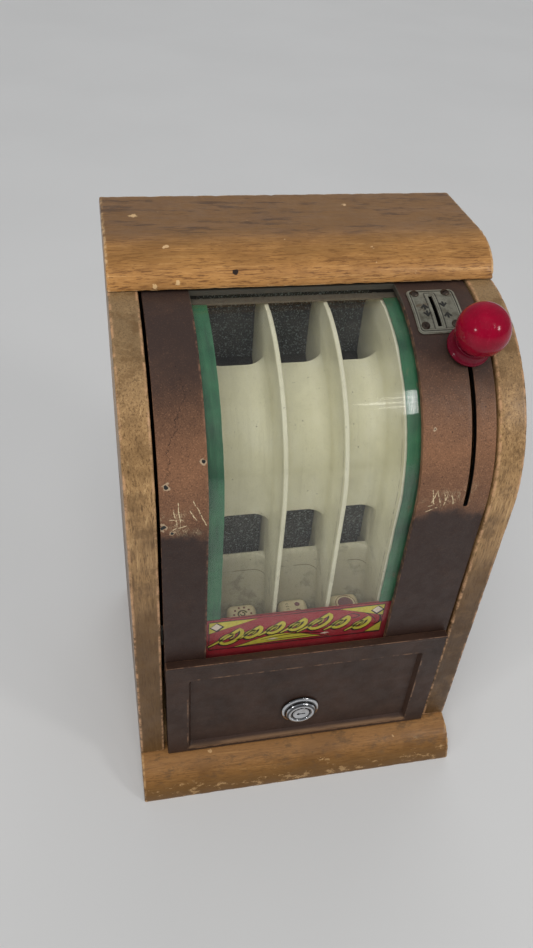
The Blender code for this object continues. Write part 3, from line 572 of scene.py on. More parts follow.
def nose_patches(s):
    """The base board: olive low on the nose, pale chips near its foot, grime on its upper face."""
    s.paint(s.span(s.axis(2), 0.020, 0.006, 0.0, 0.84), (98, 66, 20))
    s.paint(s.span(s.axis(2), 0.017, 0.024, 0.0, 0.5), (152, 112, 72))
    where = s.span(s.axis(2), 0.022, 0.006, 0.0, 0.10)
    patch = s.span(s.noise(150.0, 6.0, 0.78, (0.6, 1.0, 1.4), shift=(0.4, 0.2, 0.9)) + where, 0.665, 0.680, 0.0,
                   0.75)
    s.paint(patch, (176, 140, 94))
    grime = s.span(s.noise(150.0, 6.0, 0.75, (0.5, 1.0, 1.0), shift=(0.7, 0.1, 0.3)), 0.50,
                   0.64) * s.span(s.axis(2), 0.008, 0.018, 0.25, 1.0) * 0.6
    s.paint(grime, (86, 66, 46))


WOOD_TOP = wood("top_board_wood", 0, (96, 58, 30), (186, 134, 76), (218, 166, 104), (226, 188, 140),
                blotch=0.34, change=dull_top)
WOOD_SIDE = wood("side_panel_wood", 2, (92, 66, 38), (168, 132, 88), (206, 168, 118), (206, 160, 120),
                 change=pale_top)
WOOD_BASE = wood("base_board_wood", 0, (98, 66, 34), (140, 98, 52), (164, 122, 72), (196, 158, 112),
                 change=nose_patches)
PLAIN = ((120, 92, 60), (168, 134, 92), (190, 158, 116), (206, 176, 136))
WOOD_RAW = wood("plain_board_wood", 2, *PLAIN, rough=0.62, gloss=0.0, blotch=0.35)


# Long scratches on the two strips: from and to, in millimetres across and up.
CUTS = ((-83.5, 242.0, -81.6, 231.5), (-81.0, 246.0, -80.2, 233.0), (-73.0, 246.5, -68.6, 235.0),
        (-75.5, 240.5, -71.0, 233.5),
        (-86.0, 236.0, -78.0, 234.4), (-69.0, 236.0, -66.5, 229.5), (-85.0, 229.0, -76.0, 231.0),
        (54.5, 226.0, 62.5, 228.6), (55.5, 230.0, 59.8, 230.4), (57.0, 241.0, 59.4, 230.5),
        (59.6, 239.0, 58.0, 231.5),
        (60.0, 240.5, 62.6, 231.0), (64.0, 238.5, 66.0, 230.5), (66.3, 237.5, 65.2, 229.0),
        (68.6, 237.0, 70.8, 229.5))


def dark_face(s):
    """The face that looks into the lanes is painted black."""
    s.paint(s.span(s.axis(1), YF + 0.1168, YF + 0.1166), (30, 31, 31))


BOARD = wood("mechanism_board_wood", 2, *PLAIN, rough=0.62, gloss=0.0, blotch=0.35, change=dark_face)


def brown_paint():
    """Thick brown enamel on sheet metal, leathery, fine-speckled and scratched."""
    s = Shader("brown_leathery_paint", coat=0.12, coat_rough=0.32, ior=1.36)
    pebble = s.noise(1350.0, 3.0, 0.6)
    grain = s.noise(2600.0, 2.0, 0.6)
    cloud = s.noise(55.0, 5.0, 0.65)
    height = s.axis(2)
    across = s.axis(0)
    depth = s.front_depth()
    # The curve of the front turns from dark brown to copper: the paint's copper tone, lightened further as
    # painted highlight where the curve faces up to the light.
    edge = height + (cloud - 0.5) * 0.016
    lit_bulge = s.span(edge, 0.216, 0.232, 0.0, 0.9) * s.span(edge, 0.316, 0.262)
    copper = lit_bulge * 0.86 + (cloud - 0.5) * 0.8
    s.tone = s.mix(s.span(copper, 0.0, 1.0), (51, 36, 31), (138, 98, 71))
    # Painted shade: the lower part of the copper zone is darkened.
    foot = s.span(height, 0.262, 0.228) * s.span(copper, 0.2, 0.6) * 0.42
    s.paint(foot, (78, 50, 34))
    s.paint(s.span(pebble, 0.54, 0.72) * s.span(copper, 0.0, 1.0, 0.08, 0.52), (190, 142, 108))
    s.paint(s.span(pebble, 0.47, 0.32, 0.0, 0.55), (50, 36, 31))
    s.paint(s.span(height, 0.284, 0.308, 0.0, 0.06), (150, 132, 124))
    worn = s.wear() * s.span(s.noise(260.0, 4.0, 0.7), 0.42, 0.64) * s.span(height, 0.3178, 0.3172)
    s.paint(worn * 0.45, (166, 124, 96))
    # Knocks and scratches across both strips, through to bare metal.
    zone = s.span(height, 0.222, 0.227) * s.span(height, 0.247, 0.236)
    hair = s.noise(300.0, 5.0, 0.72, (1.0, 1.0, 0.30), 1.6)
    scratch = s.span(abs(hair - 0.5), 0.020,
                     0.006) * zone * 0.55 * s.span(s.noise(70.0, 2.0, 0.5, shift=(0.3, 0.0, 0.8)), 0.52, 0.62)
    for x0, z0, x1, z1 in CUTS:
        scratch = s.math("MAXIMUM", scratch, s.cut(x0 * MM, z0 * MM, x1 * MM, z1 * MM, 0.00032))
    s.paint(scratch, (214, 194, 156))
    wander = (s.noise(95.0, 5.0, 0.7, shift=(0.2, 0.5, 0.1)) - 0.5) * 0.020
    lean = s.span(height, 0.268, 0.296, -0.0845, -0.0755)
    crack = s.span(abs(across + wander - lean), 0.00035, 0.0001) * s.span(height, 0.256, 0.262) * s.span(height,
            0.301, 0.296) * 0.85
    s.paint(crack, (34, 24, 22))
    pit = s.span(s.cells(130.0), 0.060, 0.035, 0.0, 0.85)
    s.paint(pit, (30, 23, 21))
    for x, z, radius in ((-86.7, 254.5, 1.5), (-89.0, 231.0, 1.8), (-84.2, 226.5, 1.3), (-66.9, 266.0, 1.4),
                         (56.0, 273.0, 0.6)):
        spot = on_front(x, z)
        s.paint(s.near(spot, (radius + 0.5) * MM, 0.9), (176, 152, 124))
        s.paint(s.near(spot, radius * MM * 0.8, 0.5), (36, 38, 38))
    # The lip above the window is grey with rubbing, and the walls of the slots are painted near black as painted
    # shade.
    lip = s.span(height, 0.3145, 0.3155) * s.span(abs(across - -0.00775), 0.05785, 0.05745)
    s.paint(lip * 0.92, (74, 72, 64))
    lever_slot = s.span(abs(across - 0.0783), 0.0020, 0.0015)
    coin_slot = s.span(abs(across - 0.066), 0.0024, 0.0018)
    # Painted shade inside the lever and coin slots.
    inside = s.math("MAXIMUM", lever_slot, coin_slot) * s.span(depth, 0.0018, 0.0022) * s.span(height, 0.221,
            0.224)
    s.paint(inside, (14, 13, 13))
    roughness = s.span(s.noise(130.0, 4.0, 0.65), 0.3, 0.7, 0.36, 0.58)
    s.bump((pebble, 0.42, 0.0004), (grain, 0.2, 0.00012), (cloud, 0.25, 0.0012), (crack, -0.5, 0.0003))
    return s.done(roughness)


BROWN = brown_paint()


def drawer_paint():
    """The same enamel on the drawer, darker, with a thin copper-coloured line round its lip and recess that is
    partly wear and partly painted highlight, and a painted highlight on the recess's sloping bottom.
    """
    s = Shader("drawer_paint", coat=0.12, coat_rough=0.32, ior=1.36)
    pebble = s.noise(900.0, 3.0, 0.6)
    brushed = s.noise(210.0, 5.0, 0.6, (0.12, 1.0, 1.0))
    cloud = s.noise(34.0, 5.0, 0.62)
    height = s.axis(2)
    s.tone = s.ramp(cloud, (0.30, (45, 31, 25)), (0.70, (63, 44, 35)))
    s.paint(s.span(brushed, 0.52, 0.78, 0.0, 0.30), (76, 56, 45))
    s.paint(s.span(pebble, 0.55, 0.76, 0.0, 0.28), (92, 68, 54))
    s.paint(s.span(pebble, 0.46, 0.30, 0.0, 0.35), (40, 31, 28))
    # The lip's edges are painted copper: partly wear, partly a painted highlight along the lit edge.
    rub = s.span(s.noise(170.0, 4.0, 0.7), 0.36, 0.60)
    worn = s.wear() * rub * s.span(height, 0.1165, 0.1175)
    s.paint(worn * 0.55, (150, 112, 84))
    # Distance from the rim of the recess, which is a rectangle.
    aside = abs(s.axis(0)) - 0.0768
    above = abs(height - 0.0661) - 0.0381
    rim = s.span(abs(s.math("MAXIMUM", aside, above)), 0.0007, 0.0002)
    # The recess rim gets the same copper line: partly wear, partly painted highlight.
    s.paint(rim * s.span(s.noise(120.0, 4.0, 0.7, shift=(0.4, 0.4, 0.0)), 0.44, 0.62) * 0.6, (142, 108, 82))
    # Painted highlight: the sloping bottom of the recess is painted lighter brown.
    lit_shelf = s.span(height, 0.0316, 0.0300) * s.span(height, 0.0280, 0.0285) * s.span(abs(s.axis(0)), 0.0768,
            0.0755) * s.span(brushed, 0.35, 0.55, 0.25, 0.75)
    s.paint(lit_shelf, (128, 98, 70))
    pit = s.span(s.cells(90.0), 0.06, 0.035, 0.0, 0.7)
    s.paint(pit, (28, 22, 20))
    roughness = s.span(s.noise(110.0, 4.0, 0.65), 0.3, 0.7, 0.38, 0.60)
    s.bump((pebble, 0.35, 0.0003), (brushed, 0.2, 0.0003))
    return s.done(roughness)


DRAWER = drawer_paint()


def enamel():
    """Cream lane enamel: long faint streaks and dust specks, painted shade towards the bottom and in the left
    lane with grime smudges there, and painted shade with dirt along each fin's fold line.
    """
    s = Shader("cream_lane_enamel", coat=0.2, coat_rough=0.3)
    streak = s.noise(300.0, 5.0, 0.6, (1.0, 0.05, 0.05), 0.4)
    cloud = s.noise(38.0, 5.0, 0.62)
    speck = s.noise(1500.0, 2.0, 0.5)
    height = s.axis(2)
    depth = s.front_depth()
    s.tone = s.ramp(cloud, (0.28, (224, 221, 193)), (0.5, (238, 235, 208)), (0.72, (244, 242, 220)))
    s.paint(s.span(streak, 0.52, 0.76, 0.0, 0.30), (204, 200, 172))
    s.paint(s.span(streak, 0.46, 0.30, 0.0, 0.35), (246, 243, 226))
    # Painted shade: the left lane is darkened.
    s.paint(s.span(s.axis(0), -0.022, -0.046, 0.0, 0.26), (172, 168, 142))
    # Painted shade: the lanes darken towards the bottom, reaching higher on the left; grime smudges gather in the
    # same part.
    low = s.span(height + s.span(s.axis(0), -0.055, 0.0, -0.012, 0.0), 0.200, 0.120)
    s.paint(low * 0.62, (146, 140, 116))
    smudge = s.span(s.noise(85.0, 4.0, 0.6), 0.52, 0.66) * low * 0.5
    s.paint(smudge, (118, 112, 98))
    s.paint(s.span(speck, 0.65, 0.73, 0.0, 0.5), (96, 90, 74))
    spot = s.span(s.cells(150.0), 0.07, 0.04, 0.0, 0.8)
    s.paint(spot, (84, 76, 60))
    # The folded hem along each fin ends in a fine dark line: painted shade along the fold, broken up with dirt.
    crease_shade_and_dirt = s.span(abs(depth - 0.0131), 0.00045, 0.0001) * s.span(s.noise(260.0, 4.0, 0.7, (1.0, 0.5, 0.5)),
            0.40, 0.56) * s.span(height, 0.290, 0.262) * 0.8
    s.paint(crease_shade_and_dirt, (118, 108, 84))
    seam = s.span(abs(height - 0.1510), 0.0004, 0.0001) * s.span(depth, 0.034,
            0.036) * s.span(s.noise(60.0, 3.0, 0.6, shift=(0.9, 0.0, 0.0)), 0.42, 0.52) * 0.7
    s.paint(seam, (96, 88, 70))
    worn = s.wear() * s.span(s.noise(300.0, 4.0, 0.7), 0.40, 0.66)
    s.paint(worn * 0.5, (250, 244, 222))
    roughness = s.span(s.noise(120.0, 4.0, 0.6), 0.3, 0.7, 0.34, 0.54)
    s.bump((streak, 0.12, 0.0003), (cloud, 0.15, 0.0012), (speck, 0.08, 0.0001))
    return s.done(roughness)


CREAM = enamel()


def print_ink(name, colour, edge, rough=0.42):
    """A printed colour with slight mottling, as lacquered card shows."""
    s = Shader(name, rough=rough, coat=0.2, coat_rough=0.2)
    mottle = s.noise(420.0, 4.0, 0.6)
    wide = s.noise(55.0, 3.0, 0.55)
    s.tone = s.mix(s.span(mottle, 0.42, 0.72, 0.0, 0.55), colour, edge)
    s.paint(s.span(wide, 0.5, 0.75, 0.0, 0.35), edge)
    s.bump((mottle, 0.08, 0.0001))
    return s.done(s.span(mottle, 0.3, 0.7, rough - 0.06, rough + 0.1))


RED_INK = print_ink("sign_red_print", (170, 42, 56), (148, 34, 48))
DEEP_INK = print_ink("sign_deep_red_print", (172, 34, 50), (142, 26, 40))
GOLD_INK = print_ink("sign_yellow_print", (216, 204, 72), (188, 172, 56))
DARK_INK = print_ink("sign_dark_print", (26, 14, 24), (44, 16, 26))
PALE_INK = print_ink("sign_pale_print", (238, 222, 206), (216, 190, 168))
MARK_INK = print_ink("dice_mark_mauve", (128, 82, 92), (150, 108, 100), 0.5)
MARK_BROWN = print_ink("dice_mark_brown", (118, 52, 44), (140, 84, 62), 0.5)
MARK_GREY = print_ink("dice_mark_grey", (96, 88, 62), (132, 120, 84), 0.5)


def green():
    """Green paint on the back of the glass, brushed on and rubbed through in places."""
    s = Shader("green_back_paint", rough=0.4, coat=0.25, coat_rough=0.15)
    brush = s.noise(420.0, 5.0, 0.6, (1.0, 0.08, 0.08))
    cloud = s.noise(42.0, 5.0, 0.65)
    s.tone = s.ramp(cloud, (0.30, (34, 84, 62)), (0.52, (48, 112, 78)), (0.74, (66, 136, 94)))
    s.paint(s.span(brush, 0.5, 0.72, 0.0, 0.45), (84, 146, 108))
    s.paint(s.span(brush, 0.46, 0.30, 0.0, 0.40), (28, 70, 54))
    rub = s.span(s.noise(150.0, 5.0, 0.7, (1.0, 0.4, 0.4)), 0.56, 0.66) * s.span(s.axis(0), 0.0, 0.03) * 0.6
    s.paint(rub, (112, 104, 78))
    s.bump((brush, 0.15, 0.0002))
    return s.done(s.span(brush, 0.3, 0.7, 0.34, 0.52))


GREEN = green()


def glass():
    """Window glass: clear, with Fresnel gloss and a thin film of dust."""
    s = Shader("window_glass_film")
    see = s.node("ShaderNodeBsdfTransparent")
    see.inputs["Color"].default_value = (0.955, 0.955, 0.945, 1.0)
    gloss = s.node("ShaderNodeBsdfGlossy")
    gloss.inputs["Roughness"].default_value = 0.075
    facing = Amount(s, s.node("ShaderNodeLayerWeight").outputs["Facing"])
    first = s.node("ShaderNodeMixShader")
    s.plug(first.inputs[0], s.math("MULTIPLY_ADD", facing ** 5.0, 0.96, 0.04))
    s.plug(first.inputs[1], see.outputs[0])
    s.plug(first.inputs[2], gloss.outputs[0])
    dust = s.node("ShaderNodeBsdfDiffuse")
    dust.inputs["Color"].default_value = srgb(196, 192, 178)
    film = s.span(s.noise(60.0, 5.0, 0.65), 0.35, 0.75, 0.004, 0.028) + s.span(s.noise(1900.0, 2.0, 0.5), 0.68,
            0.76, 0.0, 0.25)
    second = s.node("ShaderNodeMixShader")
    s.plug(second.inputs[0], film)
    s.plug(second.inputs[1], first.outputs[0])
    s.plug(second.inputs[2], dust.outputs[0])
    s.plug(s.out.inputs["Surface"], second.outputs[0])
    s.tree.nodes.remove(s.bsdf)
    return s.mat


GLASS = glass()


def metal(name, colour, stain, rough=0.38, amount=0.5, brushed=(1.0, 1.0, 1.0), full=1.0):
    """Bare or plated metal with brushing and tarnish."""
    s = Shader(name, metal=full)
    fine = s.noise(1500.0, 3.0, 0.6, brushed)
    tarnish = s.noise(160.0, 5.0, 0.68)
    s.tone = s.mix(s.span(tarnish, 0.44, 0.70, 0.0, amount), colour, stain)
    s.paint(s.span(fine, 0.5, 0.8, 0.0, 0.25), stain)
    roughness = s.span(tarnish, 0.35, 0.7, rough - 0.07, rough + 0.16) + s.span(fine, 0.3, 0.8, -0.04, 0.08)
    s.bump((fine, 0.10, 0.0001), (tarnish, 0.10, 0.0003))
    return s.done(roughness)


STEEL = metal("zinc_steel", (176, 174, 166), (112, 104, 90))
SPRING = metal("spring_steel", (140, 138, 136), (88, 80, 70), 0.34)
TIN = metal("tinned_steel", (170, 170, 164), (120, 114, 100), 0.4, 0.45)
BRASS = metal("aged_brass", (190, 150, 80), (112, 84, 44), 0.36, 0.7)
LOCK_X, LOCK_Z = -1.0, 54.0


def lock_metal():
    """Chrome on the lock, with dirt left in the rings between its steps."""
    s = Shader("lock_chrome", metal=1.0)
    aside, above = s.axis(0) - LOCK_X * MM, s.axis(2) - LOCK_Z * MM
    radius = s.math("SQRT", aside * aside + above * above)
    smear = s.noise(420.0, 4.0, 0.65)
    s.tone = s.mix(s.span(smear, 0.46, 0.72, 0.0, 0.4), (214, 216, 220), (150, 150, 148))
    for middle, half in ((0.0062, 0.0007), (0.0092, 0.0006), (0.0108, 0.0005), (0.0131, 0.0004)):
        band = s.span(abs(radius - middle), half * 1.5, half * 0.6, 0.0, 0.85)
        s.paint(band, (40, 38, 36))
    s.bump((smear, 0.05, 0.0001))
    return s.done(s.span(smear, 0.3, 0.7, 0.10, 0.24))


LOCK_METAL = lock_metal()
CORRODED = metal("corroded_screw_steel", (110, 98, 88), (60, 48, 42), 0.5, 0.8)


def pressed():
    """Dull pressed plate: grey metal with fine dark specks, rust patches and rubbed edges."""
    s = Shader("pressed_coin_plate", metal=0.55)
    fine = s.noise(1300.0, 3.0, 0.6)
    cloud = s.noise(190.0, 5.0, 0.66)
    s.tone = s.ramp(cloud, (0.30, (98, 94, 80)), (0.5, (136, 134, 120)), (0.72, (158, 156, 142)))
    s.paint(s.span(fine, 0.52, 0.74, 0.0, 0.5), (84, 76, 60))
    rust = s.span(s.noise(110.0, 4.0, 0.7, shift=(0.2, 0.6, 0.1)), 0.55, 0.68, 0.0, 0.6)
    s.paint(rust, (96, 74, 50))
    s.paint(s.wear() * 0.5, (178, 176, 160))
    s.bump((fine, 0.2, 0.00015), (cloud, 0.15, 0.0003))
    return s.done(s.span(cloud, 0.3, 0.7, 0.38, 0.6))


PLATE = pressed()
PLATE_DARK = print_ink("plate_hollow_black", (34, 34, 32), (58, 54, 46), 0.6)


def phenolic(name, deep, bright):
    """Deep crimson moulded resin, glossy, with faint scuffs."""
    s = Shader(name, ior=1.33)
    cloud = s.noise(90.0, 4.0, 0.6)
    s.tone = s.ramp(cloud, (0.3, deep), (0.7, bright))
    scuff = s.span(abs(s.noise(160.0, 5.0, 0.7, (1.0, 1.0, 0.4), 1.5) - 0.5),
                   0.006, 0.001, 0.0, 0.25)
    s.paint(scuff, (200, 70, 96))
    s.paint(s.wear() * 0.2, (190, 90, 106))
    s.bump((s.noise(240.0, 3.0, 0.5), 0.05, 0.0004))
    return s.done(s.span(cloud, 0.3, 0.7, 0.10, 0.17))


KNOB = phenolic("crimson_phenolic", (128, 0, 34), (156, 0, 42))
# Painted shade: the collar gets a darker copy of the knob's crimson resin, below the ball.
SHADED_COLLAR_RESIN = phenolic("crimson_phenolic_painted_shade", (92, 6, 28), (118, 10, 38))


def pad():
    """Dusty dark rubbery sheet, speckled like emery."""
    s = Shader("dark_speckled_pad", rough=0.8)
    speck = s.noise(1000.0, 3.0, 0.7)
    cloud = s.noise(90.0, 4.0, 0.6)
    s.tone = s.ramp(speck, (0.34, (24, 26, 26)), (0.55, (46, 49, 49)), (0.64, (160, 174, 174)))
    s.paint(s.span(cloud, 0.4, 0.7, 0.0, 0.25), (60, 62, 60))
    s.bump((speck, 0.6, 0.0004))
    return s.done(s.span(speck, 0.3, 0.7, 0.7, 0.9))


BLACK = pad()


def ivory():
    """Aged cream dice stock with fine yellower flecks."""
    s = Shader("aged_dice", coat=0.3, coat_rough=0.18)
    s.bsdf.inputs["Subsurface Weight"].default_value = 0.08
    s.bsdf.inputs["Subsurface Radius"].default_value = (0.003, 0.002, 0.001)
    cloud = s.noise(180.0, 5.0, 0.62)
    fine = s.noise(900.0, 3.0, 0.6)
    s.tone = s.ramp(cloud, (0.3, (214, 198, 158)), (0.7, (236, 224, 190)))
    s.paint(s.span(fine, 0.5, 0.75, 0.0, 0.35), (188, 164, 120))
    s.bump((fine, 0.1, 0.0001))
    return s.done(s.span(cloud, 0.3, 0.7, 0.28, 0.42))


IVORY = ivory()
STRIP = print_ink("window_head_strip", (112, 104, 92), (88, 78, 66), 0.6)


# ---------------------------------------------------------------- wooden cabinet
nose = [(YF + 3 * MM - 25 * MM * math.sin(t), 24 * MM * math.cos(t)) for t in steps(0.0, math.pi / 2, 34)]
outline = soften([(YB, 0.0), (YB, 24 * MM)] + nose, 0.9 * MM)
bm = slab(outline, -HALF_W, HALF_W, 1.0 * MM, cuts=70)
mark_wear(bm)
weather(bm, 0.10 * MM, 0.45 * MM, 1.0)
piece("base_board_wood", bm, WOOD_BASE, "cabinet", ["base_board"])

TOP_Y = YF + 88.4 * MM
nose = [(TOP_Y + 29 * MM * (1 - math.sin(t)), TOP - 18 * MM + 18 * MM * math.cos(t)) for t in steps(0.0,
        math.pi / 2, 34)]
outline = soften([(YB, TOP - 18 * MM), (YB, TOP)] + nose, 0.9 * MM)
bm = slab(outline, -HALF_W, HALF_W, 1.0 * MM, cuts=70)
mark_wear(bm)
weather(bm, 0.08 * MM, 0.40 * MM, 2.0)
piece("top_board_wood", bm, WOOD_TOP, "cabinet", ["top_board"])

for label, side in (("left", -1), ("right", 1)):
    z0, z1 = 24 * MM + GAP, TOP - 18 * MM - GAP
    path = [front_at(q, 0.0) for q in front_run(24.3, STRAIGHT + 86.0, 4.0, 1.4)]
    outline = soften([(YB, z0)] + [(y, min(z, z1)) for y, z in path] + [(YC, z1), (YB, z1)], 0.6 * MM)
    x0, x1 = sorted((side * IN_W, side * HALF_W))
    bm = slab(outline, x0, x1, 1.0 * MM, cuts=7)
    mark_wear(bm)
    weather(bm, 0.08 * MM, 0.22 * MM, 3.0 + side)
    piece("side_panel_%s_wood" % label, bm, WOOD_SIDE, "cabinet", ["side_panel_" + label])


# ---------------------------------------------------------------- curved metal front
PANEL_D, PANEL_T = 1.5, 3.0
PANEL_R = ARC_R - PANEL_D * MM
PANEL_Z0 = 98.0


def along(degrees):
    """Arc length up the panel's outer face to an angle on the arc."""
    return (STRAIGHT - PANEL_Z0) * MM + PANEL_R * math.radians(degrees)


def wrap(bm):
    """Bends a flat sheet (x, length, height above the panel's face) on to the front."""
    bend = (STRAIGHT - PANEL_Z0) * MM
    for vert in bm.verts:
        x, s, h = vert.co
        if s <= bend:
            vert.co = Vector((x, YF + PANEL_D * MM - h, PANEL_Z0 * MM + s))
            continue
        a = (s - bend) / PANEL_R
        back = max(0.0, a - math.pi / 2) * PANEL_R
        a = min(a, math.pi / 2)
        r = PANEL_R + h
        vert.co = Vector((x, YC - r * math.cos(a) + back, ZC + r * math.sin(a)))
    bmesh.ops.recalc_face_normals(bm, faces=bm.faces)


def lines(marks, reach):
    """Grid lines through the marks, with none further apart than reach."""
    out = []
    for a, b in zip(marks[:-1], marks[1:]):
        out += steps(a, b, max(1, math.ceil((b - a) / reach - 1e-6)))[:-1]
    return out + [marks[-1]]


holes = ((-65.0, 49.5, 10.0, along(87.0) / MM),
         (77.0, 79.6, along(1.3) / MM, along(63.0) / MM),
         (64.5, 67.5, along(64.8) / MM, along(79.2) / MM))
end_s = (along(90.0) + 10 * MM) / MM
xs = lines(sorted({-90.3, -88.9, 89.6, 91.0, -66.4, 50.9, *[h for hole in holes for h in hole[:2]]}), 4.0)
ss = lines(sorted({0.0, 1.4, end_s - 1.4, end_s, *[h for hole in holes for h in hole[2:]]}), 3.0)
bm = bmesh.new()
grid = {(i, j): bm.verts.new((x * MM, s * MM, 0.0)) for i, x in enumerate(xs) for j, s in enumerate(ss)}
for i in range(len(xs) - 1):
    for j in range(len(ss) - 1):
        x, s = (xs[i] + xs[i + 1]) / 2, (ss[j] + ss[j + 1]) / 2
        if not any(h[0] < x < h[1] and h[2] < s < h[3] for h in holes):
            bm.faces.new((grid[i, j], grid[i + 1, j], grid[i + 1, j + 1], grid[i, j + 1]))
bmesh.ops.delete(bm, geom=[v for v in bm.verts if not v.link_faces], context="VERTS")
made = bmesh.ops.extrude_face_region(bm, geom=bm.faces[:])
for vert in [g for g in made["geom"] if isinstance(g, bmesh.types.BMVert)]:
    vert.co.z = -PANEL_T * MM
bmesh.ops.recalc_face_normals(bm, faces=bm.faces)
ends = [e for e in bm.edges if abs(e.verts[0].co.z - e.verts[1].co.z) > 1 * MM
        and any(abs(e.verts[0].co.x - x * MM) < 1e-5 for x in (77.0, 79.6))
        and any(abs(e.verts[0].co.y - s * MM) < 1e-5 for s in holes[1][2:])]
bmesh.ops.bevel(bm, geom=ends, offset=1.2 * MM, segments=5, profile=0.5, affect="EDGES", clamp_overlap=True)
rims = [e for e in bm.edges if len(e.link_faces) == 2 and e.calc_face_angle(0.0) > math.radians(60)
        and e.verts[0].co.z > -0.1 * MM and e.verts[1].co.z > -0.1 * MM]
bmesh.ops.bevel(bm, geom=rims, offset=0.6 * MM, segments=3, profile=0.5, affect="EDGES", clamp_overlap=True)
mark_wear(bm, 15.0)
for vert in bm.verts:  # beaten by hand: never quite flat
    if -88 * MM < vert.co.x < 89 * MM:
        vert.co.z -= 0.16 * MM * (0.5 + 0.5 * noise.noise(vert.co * 45.0))
wrap(bm)
piece("front_panel_metal", bm, BROWN, "cabinet", ["front_panel"])

# ---------------------------------------------------------------- window, borders, head strip
outline = [front_at(q, 4.8) for q in front_run(108.5, STRAIGHT + 89.0)]
outline += [front_at(q, 7.2) for q in reversed(front_run(108.5, STRAIGHT + 89.0))]
piece("window_glass_sheet", slab(outline, -71 * MM, 55.5 * MM, 0.3 * MM, bevel=2, cuts=8, hold=0.5 * MM), GLASS,
      "cabinet", ["window_glass"])

for label, x_out, x_in, sign in (("left", -71.0, -55.6, 1), ("right", 55.5, 42.4, -1)):
    bm = bmesh.new()
    rows = []
    for q in front_run(146.3, STRAIGHT + 84.2, 2.0, 1.0):
        wave = 0.30 * noise.noise(Vector((x_out, q * 0.11, 0.0))) + 0.12 * noise.noise(Vector((x_out, q * 0.7,
                3.0)))
        y0, z0 = front_at(q, 7.5)
        y1, z1 = front_at(q, 8.0)
        inner = (x_in - sign * (0.45 - wave)) * MM
        rows.append([bm.verts.new(p) for p in ((x_out * MM, y0, z0), (inner, y0, z0), (inner, y1, z1),
                (x_out * MM, y1, z1))])
    for low, high in zip(rows[:-1], rows[1:]):
        for k in range(4):
            bm.faces.new((low[k], low[(k + 1) % 4], high[(k + 1) % 4], high[k]))
    bm.faces.new(rows[0][::-1])
    bm.faces.new(rows[-1])
    bmesh.ops.recalc_face_normals(bm, faces=bm.faces)
    piece("window_border_" + label, bm, GREEN, "cabinet", ["window_mask_" + label])

outline = [front_at(q, 7.5) for q in front_run(STRAIGHT + 84.6, STRAIGHT + 88.0)]
outline += [front_at(q, 8.5) for q in reversed(front_run(STRAIGHT + 84.6, STRAIGHT + 88.0))]
piece("window_head_strip", slab(outline, -71 * MM, 55.5 * MM, 0.2 * MM, bevel=2, hold=0.1 * MM), STRIP,
      "cabinet")

# ---------------------------------------------------------------- printed sign
SIGN_D = 7.65


def ribbon(path, width):
    """Two sides of a stroke along a path; width is a function of the share of its length."""
    left, right = [], []
    for i, p in enumerate(path):
        t = (path[min(i + 1, len(path) - 1)] - path[max(i - 1, 0)]).normalized()
        n = Vector((-t.y, t.x))
        w = width(i / (len(path) - 1)) / 2
        left.append(p + n * w)
        right.append(p - n * w)
    return left, right


def add_ribbon(bm, sides, place, low, high):
    rows = [[bm.verts.new(place(low, a)), bm.verts.new(place(high, a)), bm.verts.new(place(high, b)),
             bm.verts.new(place(low, b))] for a, b in zip(*sides)]
    for one, two in zip(rows[:-1], rows[1:]):
        for k in range(4):
            m = (k + 1) % 4
            bm.faces.new((one[k], one[m], two[m], two[k]))
    bm.faces.new(rows[0][::-1])
    bm.faces.new(rows[-1])


def add_shape(bm, outline, place, low, high):
    pts = ccw(outline)
    a = [bm.verts.new(place(low, p)) for p in pts]
    b = [bm.verts.new(place(high, p)) for p in pts]
    bm.faces.new(a[::-1])
    bm.faces.new(b)
    for k in range(len(pts)):
        m = (k + 1) % len(pts)
        bm.faces.new((a[k], a[m], b[m], b[k]))


def on_sign(height, p):
    """height is millimetres in front of the card."""
    return Vector((p[0] * MM, YF + (SIGN_D - height) * MM, p[1] * MM))


def sign_layer(name, mat, low, high, shapes=(), strokes=()):
    bm = bmesh.new()
    for shape in shapes:
        add_shape(bm, shape, on_sign, low, high)
    for sides in strokes:
        add_ribbon(bm, sides, on_sign, low, high)
    bmesh.ops.recalc_face_normals(bm, faces=bm.faces)
    return piece(name, bm, mat, "cabinet")


card = slab(round_rect(-71 * MM, 55.5 * MM, 108.5 * MM, 146 * MM, 0.6 * MM, 3), YF + SIGN_D * MM, YF + 8.3 * MM,
            0.1 * MM,
            along_y, 2, hold=0.2 * MM)
piece("sign_card", card, RED_INK, "cabinet", ["sign_strip"])

MID_X = -7.7
EDGE_L, EDGE_R = -62.6, 47.2


def arch(x, base, rise):
    """A shallow arch over the width of the sign."""
    t = (x - MID_X) / 55.0
    return base + rise * (1 - t * t)


def volute(cx, cz, size, turns=1.35, lean=0.55):
    """One scroll of the running border: a tail that sweeps up into a spiral."""
    pts = []
    for i in range(15):
        t = i / 14
        pts.append(Vector((cx - size * 1.25 + size * 1.55 * t,
                           cz - size * 0.95 + size * (1.9 * t - 0.15 * math.sin(math.pi * t)))))
    first = pts[-1]
    start = math.atan2(first.y - cz, first.x - cx)
    reach = math.hypot(first.x - cx, first.y - cz)
    for i in range(1, 27):
        t = i / 26
        a = start - 2 * math.pi * turns * t
        r = reach * (1 - 0.80 * t)
        pts.append(Vector((cx + r * math.cos(a), cz + r * math.sin(a))))
    return [Vector((p.x + (p.y - cz) * lean, p.y)) for p in pts]


def swell(low, high):
    return lambda t: low + (high - low) * math.sin(math.pi * min(1.0, t * 1.1 + 0.02)) ** 0.8


